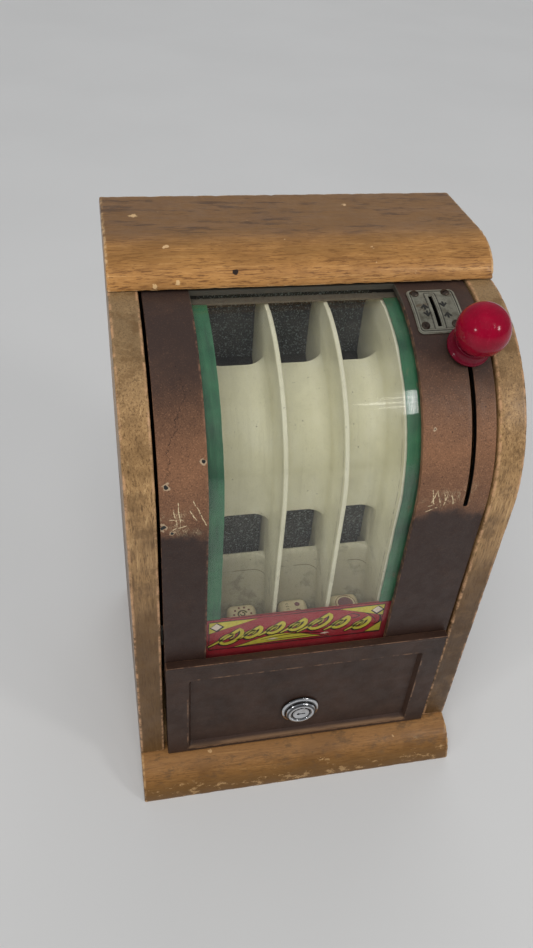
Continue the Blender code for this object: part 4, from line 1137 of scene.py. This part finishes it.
scrolls, shades = [], []
for k in range(7):
    cx = -50.0 + 13.9 * k
    size = 7.4 if k in (0, 4) else 5.5
    path = volute(cx, arch(cx, 122.9, 9.4) + (size - 5.5) * 0.5, size)
    scrolls.append(ribbon(path, swell(0.6, 2.5)))
    shades.append(ribbon([p + Vector((-0.5, -0.45)) for p in path], swell(1.9, 3.9)))
lens = [(x, 118.2 + 9.0 * math.sin(math.pi * t) ** 1.3 * (1 - 0.3 * t)) for t,
        x in zip(steps(0, 1, 24), steps(-47.0, 15.0, 24))]
lens += [(x, 118.0 + 1.6 * t + 0.9 * math.sin(math.pi * t)) for t,
         x in zip(steps(1, 0, 24), steps(15.0, -47.0, 24))][1:-1]
wedges = [[(EDGE_L, 133.4), (-33.5, 142.9), (EDGE_L, 143.1)], [(EDGE_R, 133.4), (EDGE_R, 143.1), (18.5, 142.9)],
          [(EDGE_R, 118.6), (EDGE_R, 127.2), (37.5, 118.6)]]
diamonds = [(-58.2, 138.9), (43.0, 138.9)]


def lozenge(cx, cz, w, h):
    return [(cx - w, cz), (cx, cz - h), (cx + w, cz), (cx, cz + h)]


def stroke(points, width):
    return ribbon([Vector(p) for p in points],
                  lambda t: width * (0.35 + 0.65 * math.sin(math.pi * min(0.98, max(0.02, t)))))


def even(points, width):
    return ribbon([Vector(p) for p in points], lambda t: width)


def curve(points, segs=10):
    """A smooth line through a few points."""
    pts = [Vector(p) for p in points]
    out = []
    for i in range(len(pts) - 1):
        p0, p1, p2, p3 = pts[max(i - 1, 0)], pts[i], pts[i + 1], pts[min(i + 2, len(pts) - 1)]
        for k in range(segs):
            t = k / segs
            out.append(0.5 * ((2 * p1) + (p2 - p0) * t + (2 * p0 - 5 * p1 + 4 * p2 - p3) * t * t
                              + (3 * p1 - p0 - 3 * p2 + p3) * t ** 3))
    return out + [pts[-1]]


frame_line = [(EDGE_L, 117.9), (EDGE_L, 143.6), (EDGE_R, 143.6), (EDGE_R, 117.9)]
dark_strokes = [even(frame_line[0:2], 0.45), even(frame_line[1:3], 0.45), even(frame_line[2:4], 0.45),
                even([(EDGE_L, 117.5), (EDGE_R, 117.5)], 0.8), even([(-71, 145.7), (55.5, 145.7)], 0.6),
                stroke(curve([(-17, 143.5), (4, 144.2), (23.8, 141.6), (34.9, 137.4), (42.0, 131.0),
                              (43.3, 126.4)]), 0.7),
                stroke(curve([(38.0, 139.4), (44.6, 134.8), (46.2, 129.0), (44.2, 125.4), (41.6, 125.6)]), 1.1),
                stroke(curve([(22.6, 136.0), (27.2, 137.5), (31.8, 135.0), (27.4, 133.3), (22.6, 136.0)]), 0.8)]
sign_layer("sign_lower_band", DEEP_INK, 0.0, 0.02, [[(-71, 108.5), (55.5, 108.5), (55.5, 117.4), (-71, 117.4)]])
outlined = [inset(ccw(w), -0.45) for w in wedges] + [inset(ccw(lens), -0.45)]
sign_layer("sign_outlines", DARK_INK, 0.0, 0.03, outlined, dark_strokes)
sign_layer("sign_wedges", GOLD_INK, 0.0, 0.05, [*wedges, lens])
sign_layer("sign_scroll_shadow", DARK_INK, 0.0, 0.07,
           [lozenge(cx + 0.3, cz - 0.4, 4.6, 4.3) for cx, cz in diamonds],
           shades + [stroke(curve([(-30, 122.3), (-12, 124.6), (4, 123.4), (10, 121.9)]), 0.7),
                     stroke(curve([(-27, 121.0), (-10, 121.2), (5, 121.4)]), 0.6)])
sign_layer("sign_scrolls", GOLD_INK, 0.0, 0.09, [], scrolls)
sign_layer("sign_lozenges", PALE_INK, 0.0, 0.11, [lozenge(cx, cz, 3.4, 3.1) for cx, cz in diamonds]
           + [lozenge(-22.5, 122.0, 3.6, 0.8), lozenge(10.8, 121.9, 3.0, 0.8)])

# ---------------------------------------------------------------- coin plate
PL_X0, PL_X1 = 53.2, 81.0
PL_S0, PL_S1 = along(62.6) / MM, along(81.9) / MM
SLOT_S0, SLOT_S1 = along(65.2) / MM, along(78.8) / MM
SCREWS = ((57.6, 79.8), (75.4, 79.9), (57.8, 65.6), (75.2, 65.9))
FACE = 0.15                    # the plate's back stands this far off the panel


def plate_part(x0, x1, s0, s1, radius, low, high, segs=6):
    return slab(round_rect(x0 * MM, x1 * MM, s0 * MM, s1 * MM, radius * MM, segs), low * MM, high * MM, 0.0,
                along_z)


def ring(x0, x1, s0, s1, radius, width, low, high):
    outer = plate_part(x0, x1, s0, s1, radius, low, high)
    inner = plate_part(x0 + width, x1 - width, s0 + width, s1 - width, max(0.2, radius - width), low - 1,
                       high + 1)
    return combine(outer, inner)


bm = slab(round_rect(PL_X0 * MM, PL_X1 * MM, PL_S0 * MM, PL_S1 * MM, 3.2 * MM, 8), FACE * MM,
          (FACE + 0.85) * MM, 0.3 * MM,
          along_z, 3, hold=0.3 * MM)
bm = combine(bm, ring(PL_X0 + 0.55, PL_X1 - 0.55, PL_S0 + 0.55, PL_S1 - 0.55, 2.6, 0.75, 0.6, FACE + 1.1),
             "UNION")
for x0, x1, s0, s1, radius, width in ((PL_X0 + 2.1, PL_X1 - 2.1, PL_S0 + 2.1, PL_S1 - 2.1, 1.8, 0.45),
                                      (63.4, 68.6, SLOT_S0 - 1.3, SLOT_S1 + 1.3, 0.6, 0.5)):
    bm = combine(bm, ring(x0, x1, s0, s1, radius, width, 0.5, FACE + 1.05), "UNION")
bm = combine(bm, plate_part(66 - 1.25, 66 + 1.25, SLOT_S0, SLOT_S1, 0.4, -2.0, 3.0, 3))
for x, deg in SCREWS:
    hole = lathe([(1.5 * MM, -2 * MM), (1.5 * MM, 4 * MM)], 20, Matrix.Translation((x * MM, along(deg), 0.0)))
    bm = combine(bm, hole)


def bend_cuts(bm, s0, s1, reach):
    for s in lines([s0, s1], reach)[1:-1]:
        bmesh.ops.bisect_plane(bm, geom=bm.verts[:] + bm.edges[:] + bm.faces[:], dist=0.000001,
                               plane_co=(0, s * MM, 0), plane_no=(0, 1, 0))


bend_cuts(bm, PL_S0, PL_S1, 1.6)
mark_wear(bm, 25.0)
wrap(bm)
piece("coin_plate_pressed", bm, PLATE, "cabinet", ["coin_plate"], sharp=40.0)


def on_plate(height, p):
    return Vector((p[0] * MM, p[1] * MM, (FACE + 0.85 + height) * MM))


# Raised chevrons and bars flank the slot, blackened like the rest of the plate's pattern.
bm = bmesh.new()
for x, s, flip in ((60.4, 13.2, 1), (60.9, 7.2, -1), (71.6, 13.4, -1), (72.2, 7.0, 1)):
    base = PL_S0 + s + 5.2
    add_ribbon(bm, even([(x - 1.9, base - 1.5 * flip), (x, base + 0.9 * flip), (x + 1.9, base - 1.5 * flip)],
                        1.15), on_plate,
               -0.05, 0.22)
    add_ribbon(bm, even([(x, base + 0.9 * flip), (x, base - 2.6 * flip)], 1.1), on_plate, -0.05, 0.2)
loops = ((PL_X0 + 1.55, PL_X1 - 1.55, PL_S0 + 1.55, PL_S1 - 1.55, 2.2),
         (62.7, 69.3, SLOT_S0 - 2.0, SLOT_S1 + 2.0, 0.8))
for x0, x1, s0, s1, radius in loops:
    path = [Vector((p.x, p.y)) for p in round_rect(x0, x1, s0, s1, radius, 5)]
    path = path + [path[0]]
    fine = []
    for a, b in zip(path[:-1], path[1:]):
        fine += [a.lerp(b, t) for t in steps(0, 1, max(1, math.ceil((b - a).length / 1.6)))[:-1]]
    add_ribbon(bm, even(fine + [path[-1]], 0.42), on_plate, -0.05, 0.04)
bmesh.ops.recalc_face_normals(bm, faces=bm.faces)
wrap(bm)
piece("coin_plate_pattern", bm, PLATE_DARK, "cabinet")


def radial(x, radius, degrees):
    a = math.radians(degrees)
    out = Vector((0.0, -math.cos(a), math.sin(a)))
    side = Vector((1.0, 0.0, 0.0))
    rot = Matrix((side, out.cross(side), out)).transposed().to_4x4()
    return Matrix.Translation((x, YC - radius * math.cos(a), ZC + radius * math.sin(a))) @ rot


def cut_slot(bm, matrix, turn, length, width, low, high):
    bar = slab([(-length, -width), (length, -width), (length, width), (-length, width)], low, high, 0.0,
               along_z)
    bmesh.ops.transform(bar, matrix=matrix @ Matrix.Rotation(math.radians(turn), 4, "Z"), verts=bar.verts)
    return combine(bm, bar)


for n, (x, deg) in enumerate(SCREWS):
    m = radial(x * MM, PANEL_R + FACE * MM, deg)
    prof = [(0.0, -6 * MM), (1.2 * MM, -5.4 * MM), (1.2 * MM, 0.9 * MM), (2.4 * MM, 0.9 * MM),
            (2.4 * MM, 1.2 * MM)]
    prof += [(2.4 * MM * math.cos(t), (1.2 + 1.15 * math.sin(t)) * MM) for t in steps(0.12, math.pi / 2, 8)]
    prof[-1] = (0.0, 2.35 * MM)
    bm = cut_slot(lathe(prof, 40, m), m, 40 * n - 20, 3 * MM, 0.28 * MM, 1.7 * MM, 3 * MM)
    piece("coin_screw_%d" % (n + 1), bm, CORRODED, "cabinet", ["coin_plate_screw_%d" % (n + 1)])

# ---------------------------------------------------------------- lever: collar and ball
LEVER_X = 78.3 * MM
seat = radial(LEVER_X, PANEL_R + 1.7 * MM, 57.0)
prof = [(2.3, 0.0), (11.4, 0.0), (12.1, 0.5), (12.1, 1.7), (11.0, 2.6), (9.9, 4.2), (9.4, 5.8), (9.6, 6.9),
        (9.0, 7.4), (2.3, 7.4)]
prof = round_profile([(r * MM, h * MM) for r, h in prof], 0.8 * MM, 5)
piece("lever_collar_resin", lathe(prof, 72, seat, True), SHADED_COLLAR_RESIN, "lever", ["lever_collar"],
      sharp=60.0)

BALL_R, BALL_H = 14.2, 20.0
low_a = math.asin((7.7 - BALL_H) / BALL_R)
prof = [(0.0, 18.4), (2.3, 18.4), (2.3, 7.7), (6.4, 7.7)]
prof += [(BALL_R * math.cos(a), BALL_H + BALL_R * math.sin(a)) for a in steps(low_a + 0.04, math.pi / 2,
        44)[:-1]]
prof += [(0.0, BALL_H + BALL_R)]
prof = [(r * MM, h * MM) for r, h in prof]
piece("lever_ball_resin", lathe(prof, 96, seat), KNOB, "lever", ["lever_knob"], sharp=60.0)

# ---------------------------------------------------------------- dice lanes
def fin_outline(front_off):
    pts = [front_at(q, front_off) for q in front_run(113.0, STRAIGHT + 80.0, 4.0, 1.3)]
    pts += [(YC - (ARC_R - front_off * MM) * math.cos(t), ZC + (ARC_R - front_off * MM) * math.sin(t))
            for t in (math.radians(82.0), math.radians(84.0), math.radians(86.0))]
    pts += [(YF + (92 + 20 * math.sin(t)) * MM, (289.5 + 20.5 * math.cos(t)) * MM) for t in steps(0.12,
            math.pi / 2, 12)]
    pts += [(YF + 112 * MM, 262 * MM), (YF + 57 * MM, 214 * MM), (YF + 57 * MM, 113 * MM)]
    return pts


def hem_outline():
    """The folded strip along a fin's front edge, tapering off at its tip."""
    qs = front_run(113.3, STRAIGHT + 81.5, 4.0, 1.3)
    outer = [front_at(q, 9.0) for q in qs]
    inner = [front_at(q, 13.0 - 1.6 * max(0.0, (q - STRAIGHT - 74) / 7.5)) for q in reversed(qs)]
    return outer + inner


def lane_section(x0, x1, depth, thick, fillet, segs=9):
    pts = [(x0, depth + thick), (x1, depth + thick), (x1, depth - fillet)]
    pts += [(x1 - fillet * (1 - math.cos(a)), depth - fillet * (1 - math.sin(a))) for a in steps(0, math.pi / 2,
            segs)[1:]]
    pts += [(x0 + fillet * (1 - math.sin(a)), depth - fillet * (1 - math.cos(a))) for a in steps(0, math.pi / 2,
            segs)[:-1]]
    return pts + [(x0, depth - fillet)]


def swept(x0, x1, stations, fillet):
    bm = bmesh.new()
    rings = []
    for q, depth, thick in stations:
        rings.append([bm.verts.new((x * MM, *front_at(q, d))) for x,
                      d in lane_section(x0, x1, depth, thick, fillet)])
    for low, high in zip(rings[:-1], rings[1:]):
        for k in range(len(low)):
            m = (k + 1) % len(low)
            bm.faces.new((low[k], low[m], high[m], high[k]))
    bm.faces.new(rings[0][::-1])
    bm.faces.new(rings[-1])
    bmesh.ops.recalc_face_normals(bm, faces=bm.faces)
    return bm


bm = None
for n, x in enumerate(FIN_X):
    half = (1.0, 1.15, 1.15, 1.0)[n]
    parts = [slab(soften(fin_outline(9.6), 0.8 * MM, 4), (x - half) * MM, (x + half) * MM, 0.35 * MM, bevel=2,
                  hold=0.4 * MM)]
    if n in (1, 2):
        parts.append(slab(soften(hem_outline(), 0.6 * MM, 3, 40.0), (x - 1.32) * MM, (x + 1.32) * MM, 0.8 * MM,
                          bevel=5,
                          hold=0.3 * MM))
    else:
        parts.append(slab(soften(hem_outline(), 0.5 * MM, 3, 40.0), (x - 1.0) * MM, (x + 1.0) * MM, 0.5 * MM,
                          bevel=3,
                          hold=0.3 * MM))
    for part in parts:
        bm = part if bm is None else combine(bm, part, "UNION")
upper = [(196.0, 43.35, 0.9),
         (196.4, 43.0, 1.6)] + [(q, 43.0, 1.6) for q in front_run(200.0, STRAIGHT + 75.6, 8.0, 2.0)]
upper += [(STRAIGHT + 76.0, 43.35, 0.9)]
lower = [(113.5, 34.0, 1.6), (129.0, 34.6, 1.6)]
lower += [(129.0 + 33.6 * t, 34.6 + 8.4 * t * t * (3 - 2 * t) * 0.35 + 8.4 * t * 0.65, 1.6) for t in steps(0, 1,
        8)[1:]]
lower += [(163.0, 43.35, 0.9)]
for x0, x1 in LANES:
    bm = combine(bm, swept(x0 - 0.7, x1 + 0.7, upper, 8.7 + 0.7), "UNION")
    bm = combine(bm, swept(x0 - 0.7, x1 + 0.7, lower, 6.7 + 0.7), "UNION")
mark_wear(bm, 14.0)
piece("dice_chute_enamel", bm, CREAM, "cabinet", ["dice_chute"], sharp=38.0)

# ---------------------------------------------------------------- dice
DIE, DIE_Z, DIE_Y = 19.0, 110.0, 14.2


def rounded_cube(cx, cy, cz, half, radius):
    """Cube with ball-rounded edges, as an evenly divided shell."""
    bm = bmesh.new()
    marks = [-half + radius * (1 - math.cos(math.pi / 2 * k / 5)) for k in range(5)]
    marks += steps(-half + radius, half - radius, 4) + [-m for m in reversed(marks)]
    core = half - radius
    seen = {}

    def vert(p):
        key = tuple(round(c, 5) for c in p)
        if key not in seen:
            inner = Vector([max(-core, min(core, c)) for c in p])
            out = (Vector(p) - inner)
            spot = inner + out.normalized() * radius if out.length > 1e-9 else inner
            seen[key] = bm.verts.new((Vector((cx, cy, cz)) + spot) * MM)
        return seen[key]

    for axis in range(3):
        u, v = [i for i in range(3) if i != axis]
        for sign in (-half, half):
            for i in range(len(marks) - 1):
                for j in range(len(marks) - 1):
                    corners = []
                    for a, b in ((i, j), (i + 1, j), (i + 1, j + 1), (i, j + 1)):
                        p = [0.0, 0.0, 0.0]
                        p[axis], p[u], p[v] = sign, marks[a], marks[b]
                        corners.append(vert(p))
                    bm.faces.new(corners)
    bmesh.ops.recalc_face_normals(bm, faces=bm.faces)
    return bm


FACES = ((Vector((0, 0, 1)), Vector((1, 0, 0))), (Vector((0, -1, 0)), Vector((1, 0, 0))),
         (Vector((1, 0, 0)), Vector((0, 1, 0))),
         (Vector((-1, 0, 0)), Vector((0, -1, 0))), (Vector((0, 1, 0)), Vector((-1, 0, 0))),
         (Vector((0, 0, -1)), Vector((1, 0, 0))))


def die_marks(kind):
    """Outlines and strokes, in millimetres on a face, for one style of face."""
    shapes, strokes = [], []
    if kind == "ring":
        strokes.append(even([Vector(p) for p in circle(0, 0, 6.3, 40) + circle(0, 0, 6.3, 40)[:1]], 0.35))
        shapes.append(circle(0, 0, 4.9, 40))
    elif kind == "rosette":
        for k in range(8):
            a = 2 * math.pi * k / 8
            shapes.append(circle(3.0 * math.cos(a), 3.0 * math.sin(a), 0.95, 12))
        shapes.append(circle(0, 0, 1.3, 16))
    elif kind == "pips":
        for x, z in ((-3.9, -3.9), (3.9, 3.9), (0, 0), (-3.9, 3.9), (3.9, -3.9)):
            shapes.append(circle(x, z, 1.25, 18))
    elif kind == "pair":
        shapes += [circle(2.6, 3.4, 1.7, 20), circle(2.4, -2.6, 2.2, 20)]
        for k in range(5):
            strokes.append(even([Vector((-4.9, -4.4 + 2.1 * k)), Vector((-3.9, -3.7 + 2.1 * k)),
                                 Vector((-3.0, -4.5 + 2.1 * k))], 0.4))
    else:
        for k in range(10):
            a = 2 * math.pi * k / 10
            shapes.append(circle(5.4 * math.cos(a), 5.4 * math.sin(a), 0.75, 10))
        strokes.append(even([Vector((2.8 * math.cos(t) , 2.8 * math.sin(t))) for t in steps(0.3, 5.6, 24)],
                            1.1))
        strokes.append(even([Vector((1.3 * math.cos(t) , 1.3 * math.sin(t))) for t in steps(3.0, 8.0, 18)],
                            0.9))
    return shapes, strokes


STYLES = (("dots", "rosette", "pips", "pair", "ring", "rosette"),
          ("pair", "pips", "ring", "dots", "rosette", "pips"),
          ("ring", "pair", "rosette", "pips", "dots", "pair"))
INKS = ((MARK_BROWN, MARK_GREY), (MARK_INK, MARK_GREY), (MARK_INK, MARK_BROWN))
for n, (x0, x1) in enumerate(LANES):
    cx = (x0 + x1) / 2 + (1.2, 0.4, 1.0)[n]
    centre = Vector((cx, YF / MM + DIE_Y + DIE / 2, DIE_Z + DIE / 2))
    body = "die_%d" % (n + 1)
    half = DIE / 2 - 0.03
    piece("die_%d_stock" % (n + 1), rounded_cube(*centre, half, 4.4), IVORY, body, [body],
          sharp=50.0)
    layers = (bmesh.new(), bmesh.new())
    for f, (out, right) in enumerate(FACES):
        up = out.cross(right)

        def on_face(height, p, out=out, right=right, up=up):
            return (centre + out * (half + height) + right * p[0] + up * p[1]) * MM

        shapes, strokes = die_marks(STYLES[n][f])
        for shape in shapes:
            add_shape(layers[0], shape, on_face, -0.02, 0.025)
        for sides in strokes:
            add_ribbon(layers[1], sides, on_face, -0.02, 0.025)
    for tag, layer, ink in zip(("shapes", "strokes"), layers, INKS[n]):
        bmesh.ops.recalc_face_normals(layer, faces=layer.faces)
        piece("die_%d_mark_%s" % (n + 1, tag), layer, ink, body)

# ---------------------------------------------------------------- cash drawer front
FACE_D, LIP_D, DRAWER_Z1 = -3.5, -4.5, 119.2
lip = [(YF + FACE_D * MM, 25.2 * MM), (YF + 6 * MM, 25.2 * MM), (YF + 6 * MM, 97 * MM),
       (YF + 1.1 * MM, 97 * MM),
       (YF + 1.1 * MM, DRAWER_Z1 * MM), (YF + LIP_D * MM, DRAWER_Z1 * MM),
       (YF + LIP_D * MM, (DRAWER_Z1 - 2.0) * MM),
       (YF + FACE_D * MM, (DRAWER_Z1 - 2.8) * MM)]
bm = slab(soften(lip, 0.55 * MM, 3), -90 * MM, 90 * MM, 0.7 * MM, bevel=3, cuts=40)


def frustum(d0, d1, grow0, grow1, radius):
    """A recess cutter whose sides slope: depths d0 and d1, and how far each outline grows."""
    bm = bmesh.new()
    rows = []
    for d, grow in ((d0, grow0), (d1, grow1)):
        pts = round_rect((-74.5 - grow) * MM, (74.5 + grow) * MM, (32.4 - grow * 1.7) * MM,
                         (102.4 + grow * 0.7) * MM,
                         radius * MM, 5)
        rows.append([bm.verts.new((p.x, YF + d * MM, p.y)) for p in pts])
    for k in range(len(rows[0])):
        m = (k + 1) % len(rows[0])
        bm.faces.new((rows[0][k], rows[0][m], rows[1][m], rows[1][k]))
    bm.faces.new(rows[0][::-1])
    bm.faces.new(rows[1])
    bmesh.ops.recalc_face_normals(bm, faces=bm.faces)
    return bm


bm = combine(bm, frustum(FACE_D - 2.0, FACE_D + 3.2, 2.6, 0.0, 1.6))
lock_turn = Matrix.Translation((LOCK_X * MM, YF + (FACE_D + 3.0) * MM,
                                LOCK_Z * MM)) @ Matrix.Rotation(math.radians(90), 4, "X")
bm = combine(bm, lathe([(9.3 * MM, -12 * MM), (9.3 * MM, 8 * MM)], 48, lock_turn))
for vert in bm.verts:  # a slightly uneven lip
    if vert.co.z > 116 * MM and vert.co.y < YF - 4.2 * MM:
        vert.co.y += 0.22 * MM * (0.5 + 0.5 * noise.noise(vert.co * 160.0))
mark_wear(bm, 20.0)
piece("drawer_front_metal", bm, DRAWER, "drawer", ["drawer_front"], bevel=0.35 * MM, limit=28.0)

# ---------------------------------------------------------------- lock
prof = [(6.3, -13.0), (9.0, -13.0), (9.0, 0.0), (12.6, 0.0), (13.0, 0.35), (13.0, 0.9), (12.4, 1.6),
        (11.2, 1.95), (10.6, 2.1),
        (10.5, 3.2), (9.9, 4.1), (8.9, 4.6), (7.7, 4.8), (7.1, 4.6), (6.9, 4.0), (6.3, 3.9)]
prof = round_profile([(r * MM, h * MM) for r, h in prof], 0.35 * MM, 3)
piece("lock_bezel", lathe(prof, 72, lock_turn, True), LOCK_METAL, "drawer", ["lock_body"], sharp=40.0)
prof = [(0.0, -15.0), (6.0, -15.0), (6.0, 3.7), (5.7, 4.15), (5.1, 4.4), (4.9, 4.2), (0.0, 4.2)]
bm = lathe(round_profile([(r * MM, h * MM) for r, h in prof], 0.2 * MM, 2), 64, lock_turn)
bm = cut_slot(bm, lock_turn, 0.0, 2.9 * MM, 0.5 * MM, -3 * MM, 6 * MM)
bm = combine(bm, lathe([(1.0 * MM, -3 * MM), (1.0 * MM, 6 * MM)], 20,
                       lock_turn @ Matrix.Translation((-1.9 * MM, 0, 0))))
piece("lock_plug_chrome", bm, LOCK_METAL, "lock", ["lock_plug"], sharp=40.0)

# ---------------------------------------------------------------- carried-over mechanism, with finished materials
CARRIED = {
    "lever_arm": STEEL, "lever_bracket": STEEL, "pivot_nut": STEEL, "link_rod": STEEL, "kicker": STEEL,
    "lock_cam": STEEL,
    "lock_strike": STEEL, "lever_spring": SPRING, "coin_chute": PLATE_DARK, "drawer_box": TIN,
    "kicker_bearing_left": TIN,
    "kicker_bearing_right": TIN, "bumper_pad_1": BLACK, "bumper_pad_2": BLACK, "bumper_pad_3": BLACK,
    "top_bumper": BLACK,
    "bumper_board": BLACK, "board_spacer": BLACK, "mechanism_board": BOARD, "drawer_guide_left": WOOD_RAW,
    "drawer_guide_right": WOOD_RAW, "hinge_leaf_lower": BRASS, "hinge_leaf_upper": BRASS,
    "hinge_fixed_lower": BRASS,
    "hinge_fixed_upper": BRASS, "hinge_pin_lower": BRASS, "hinge_pin_upper": BRASS,
}
for name, mat in CARRIED.items():
    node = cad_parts[name]
    node.data.materials.clear()
    node.data.materials.append(mat)
    if name not in ("lever_spring", "hinge_pin_lower", "hinge_pin_upper"):
        soften_edges(node, 0.25 * MM, 35.0)

# ---------------------------------------------------------------- rear door and its pull
DOOR_Y0, DOOR_Y1 = 79.0, 88.0
outline = soften([(-91.2 * MM, 24.8 * MM), (90.2 * MM, 24.8 * MM), (90.2 * MM, TOP - 18.8 * MM),
                  (-91.2 * MM, TOP - 18.8 * MM)],
                 0.8 * MM, 3)
bm = slab(outline, DOOR_Y0 * MM, DOOR_Y1 * MM, 0.7 * MM, along_y, 3)
for zc in (78.0, 268.0):
    bm = combine(bm, slab([(-94 * MM, (zc - 20.4) * MM), (-60 * MM, (zc - 20.4) * MM),
                           (-60 * MM, (zc + 20.4) * MM),
                           (-94 * MM, (zc + 20.4) * MM)], (DOOR_Y1 - 0.9) * MM, (DOOR_Y1 + 1) * MM, 0.0, along_y))
bm.verts.layers.float.new("wear")
piece("rear_door_panel", bm, WOOD_RAW, "rear_door", ["rear_door"])

pull = Matrix.Translation((76 * MM, (DOOR_Y1 + 0.3) * MM, 172 * MM)) @ Matrix.Rotation(math.radians(-90), 4,
        "X")
prof = [(0.0, 0.0), (4.0, 0.0), (3.8, 0.8), (3.4, 2.2), (4.6, 3.2), (6.5, 4.4), (6.8, 5.4), (6.2, 6.8),
        (3.8, 7.9), (0.0, 8.3)]
prof = round_profile([(r * MM, h * MM) for r, h in prof], 0.7 * MM, 4)
piece("rear_pull_turned", lathe(prof, 56, pull), BRASS, "rear_door", ["rear_pull"], sharp=50.0)

for row, zc in enumerate((78.0, 268.0)):
    for k, dz in enumerate((-14.0, 0.0, 14.0)):
        m = Matrix.Translation((-71.5 * MM, (DOOR_Y1 + 0.5) * MM,
                                (zc + dz) * MM)) @ Matrix.Rotation(math.radians(-90), 4, "X")
        prof = [(0.0, -0.4), (2.6, -0.4), (2.6, 0.15), (2.0, 0.55), (1.0, 0.75), (0.0, 0.8)]
        bm = cut_slot(lathe([(r * MM, h * MM) for r, h in prof], 28, m), m, 35 * k + 20 * row, 3 * MM,
                      0.25 * MM, 0.35 * MM, 2 * MM)
        piece("hinge_screw_%d_%d" % (row + 1, k + 1), bm, BRASS, "rear_door")

# ---------------------------------------------------------------- floor, light, camera
def stage_material(name, colour, rough):
    s = Shader(name)
    s.tone = s.mix(s.span(s.noise(3.0, 3.0, 0.5), 0.3, 0.7), list(colour),
                   [c * 0.97 for c in colour[:3]] + [1.0])
    return s.done(rough)


bm = bmesh.new()
bmesh.ops.create_grid(bm, x_segments=8, y_segments=8, size=4.0)
mesh = bpy.data.meshes.new("floor")
bm.to_mesh(mesh)
bm.free()
mesh.materials.append(stage_material("pale_floor", srgb(214, 214, 214), 0.55))
floor = bpy.data.objects.new("floor", mesh)
bpy.context.scene.collection.objects.link(floor)
floor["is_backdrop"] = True

world = bpy.data.worlds.new("soft_studio")
bpy.context.scene.world = world
world.use_nodes = True
tree = world.node_tree
sky = tree.nodes.new("ShaderNodeTexCoord")
split = tree.nodes.new("ShaderNodeSeparateXYZ")
fade = tree.nodes.new("ShaderNodeValToRGB")
tree.links.new(sky.outputs["Generated"], split.inputs["Vector"])
tree.links.new(split.outputs["Z"], fade.inputs["Fac"])
tree.links.new(fade.outputs["Color"], tree.nodes["Background"].inputs["Color"])
for element, (spot, colour) in zip(fade.color_ramp.elements,
                                   ((0.0, (0.52, 0.53, 0.54, 1.0)), (0.8, (0.80, 0.83, 0.87, 1.0)))):
    element.position, element.color = spot, colour
tree.nodes["Background"].inputs["Strength"].default_value = 0.32

AIM = Vector((0.0, 0.0, 0.17))


def area(name, direction, distance, width, height, power, colour=(1.0, 1.0, 1.0)):
    data = bpy.data.lights.new(name, "AREA")
    data.shape = "RECTANGLE"
    data.size, data.size_y = width, height
    data.energy = power
    data.color = colour
    lamp = bpy.data.objects.new(name, data)
    out = Vector(direction).normalized()
    lamp.location = AIM + out * distance
    tall = Vector((0.0, out.z, -out.y)).normalized()
    lamp.rotation_euler = Matrix((tall.cross(out), tall, out)).transposed().to_euler()
    bpy.context.scene.collection.objects.link(lamp)


def daylight(name, direction, strength, spread, colour=(1.0, 1.0, 1.0)):
    """Broad light from far off: soft, and even over the whole floor."""
    data = bpy.data.lights.new(name, "SUN")
    data.energy, data.angle, data.color = strength, math.radians(spread), colour
    lamp = bpy.data.objects.new(name, data)
    lamp.rotation_euler = Vector(direction).normalized().to_track_quat("Z", "Y").to_euler()
    lamp.visible_glossy = False
    bpy.context.scene.collection.objects.link(lamp)


daylight("room_light", (-0.22, -0.52, 0.82), 1.66, 46.0, (1.0, 0.99, 0.97))
daylight("room_light_behind", (0.35, 0.86, 0.36), 0.55, 50.0, (1.0, 0.99, 0.98))
area("window_glare", (0.366, -0.650, 0.666), 1.82, 0.028, 0.50, 0.62, (1.0, 0.99, 0.97))
area("window_streak_1", (0.335, -0.652, 0.680), 1.82, 0.16, 0.030, 0.10, (1.0, 0.99, 0.97))
area("window_streak_2", (0.345, -0.690, 0.640), 1.82, 0.10, 0.022, 0.045, (1.0, 0.99, 0.97))
area("window_streak_3", (0.347, -0.610, 0.712), 1.82, 0.10, 0.022, 0.045, (1.0, 0.99, 0.97))
area("window_right", (0.624, -0.615, 0.482), 1.5, 0.24, 0.28, 3.6, (1.0, 0.98, 0.95))
area("lamp_left", (-0.778, -0.504, 0.375), 1.5, 0.15, 0.15, 1.9, (1.0, 0.99, 0.97))

camera_data = bpy.data.cameras.new("camera")
camera_data.lens = 30.88
camera_data.sensor_width = 36.0
camera = bpy.data.objects.new("camera", camera_data)
bpy.context.scene.collection.objects.link(camera)
heading, fall, roll = math.radians(13.92), math.radians(40.03), math.radians(4.62)
forward = Vector((math.sin(heading) * math.cos(fall), math.cos(heading) * math.cos(fall), -math.sin(fall)))
level = Vector((math.cos(heading), -math.sin(heading), 0.0))
rise = level.cross(forward)
right = level * math.cos(roll) + rise * math.sin(roll)
up = right.cross(forward)
camera.matrix_world = Matrix.Translation((-0.1117, -0.3767, 0.5249)) @ Matrix((right, up,
        -forward)).transposed().to_4x4()
bpy.context.scene.camera = camera
bpy.context.scene.view_settings.view_transform = "Standard"

low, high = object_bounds()
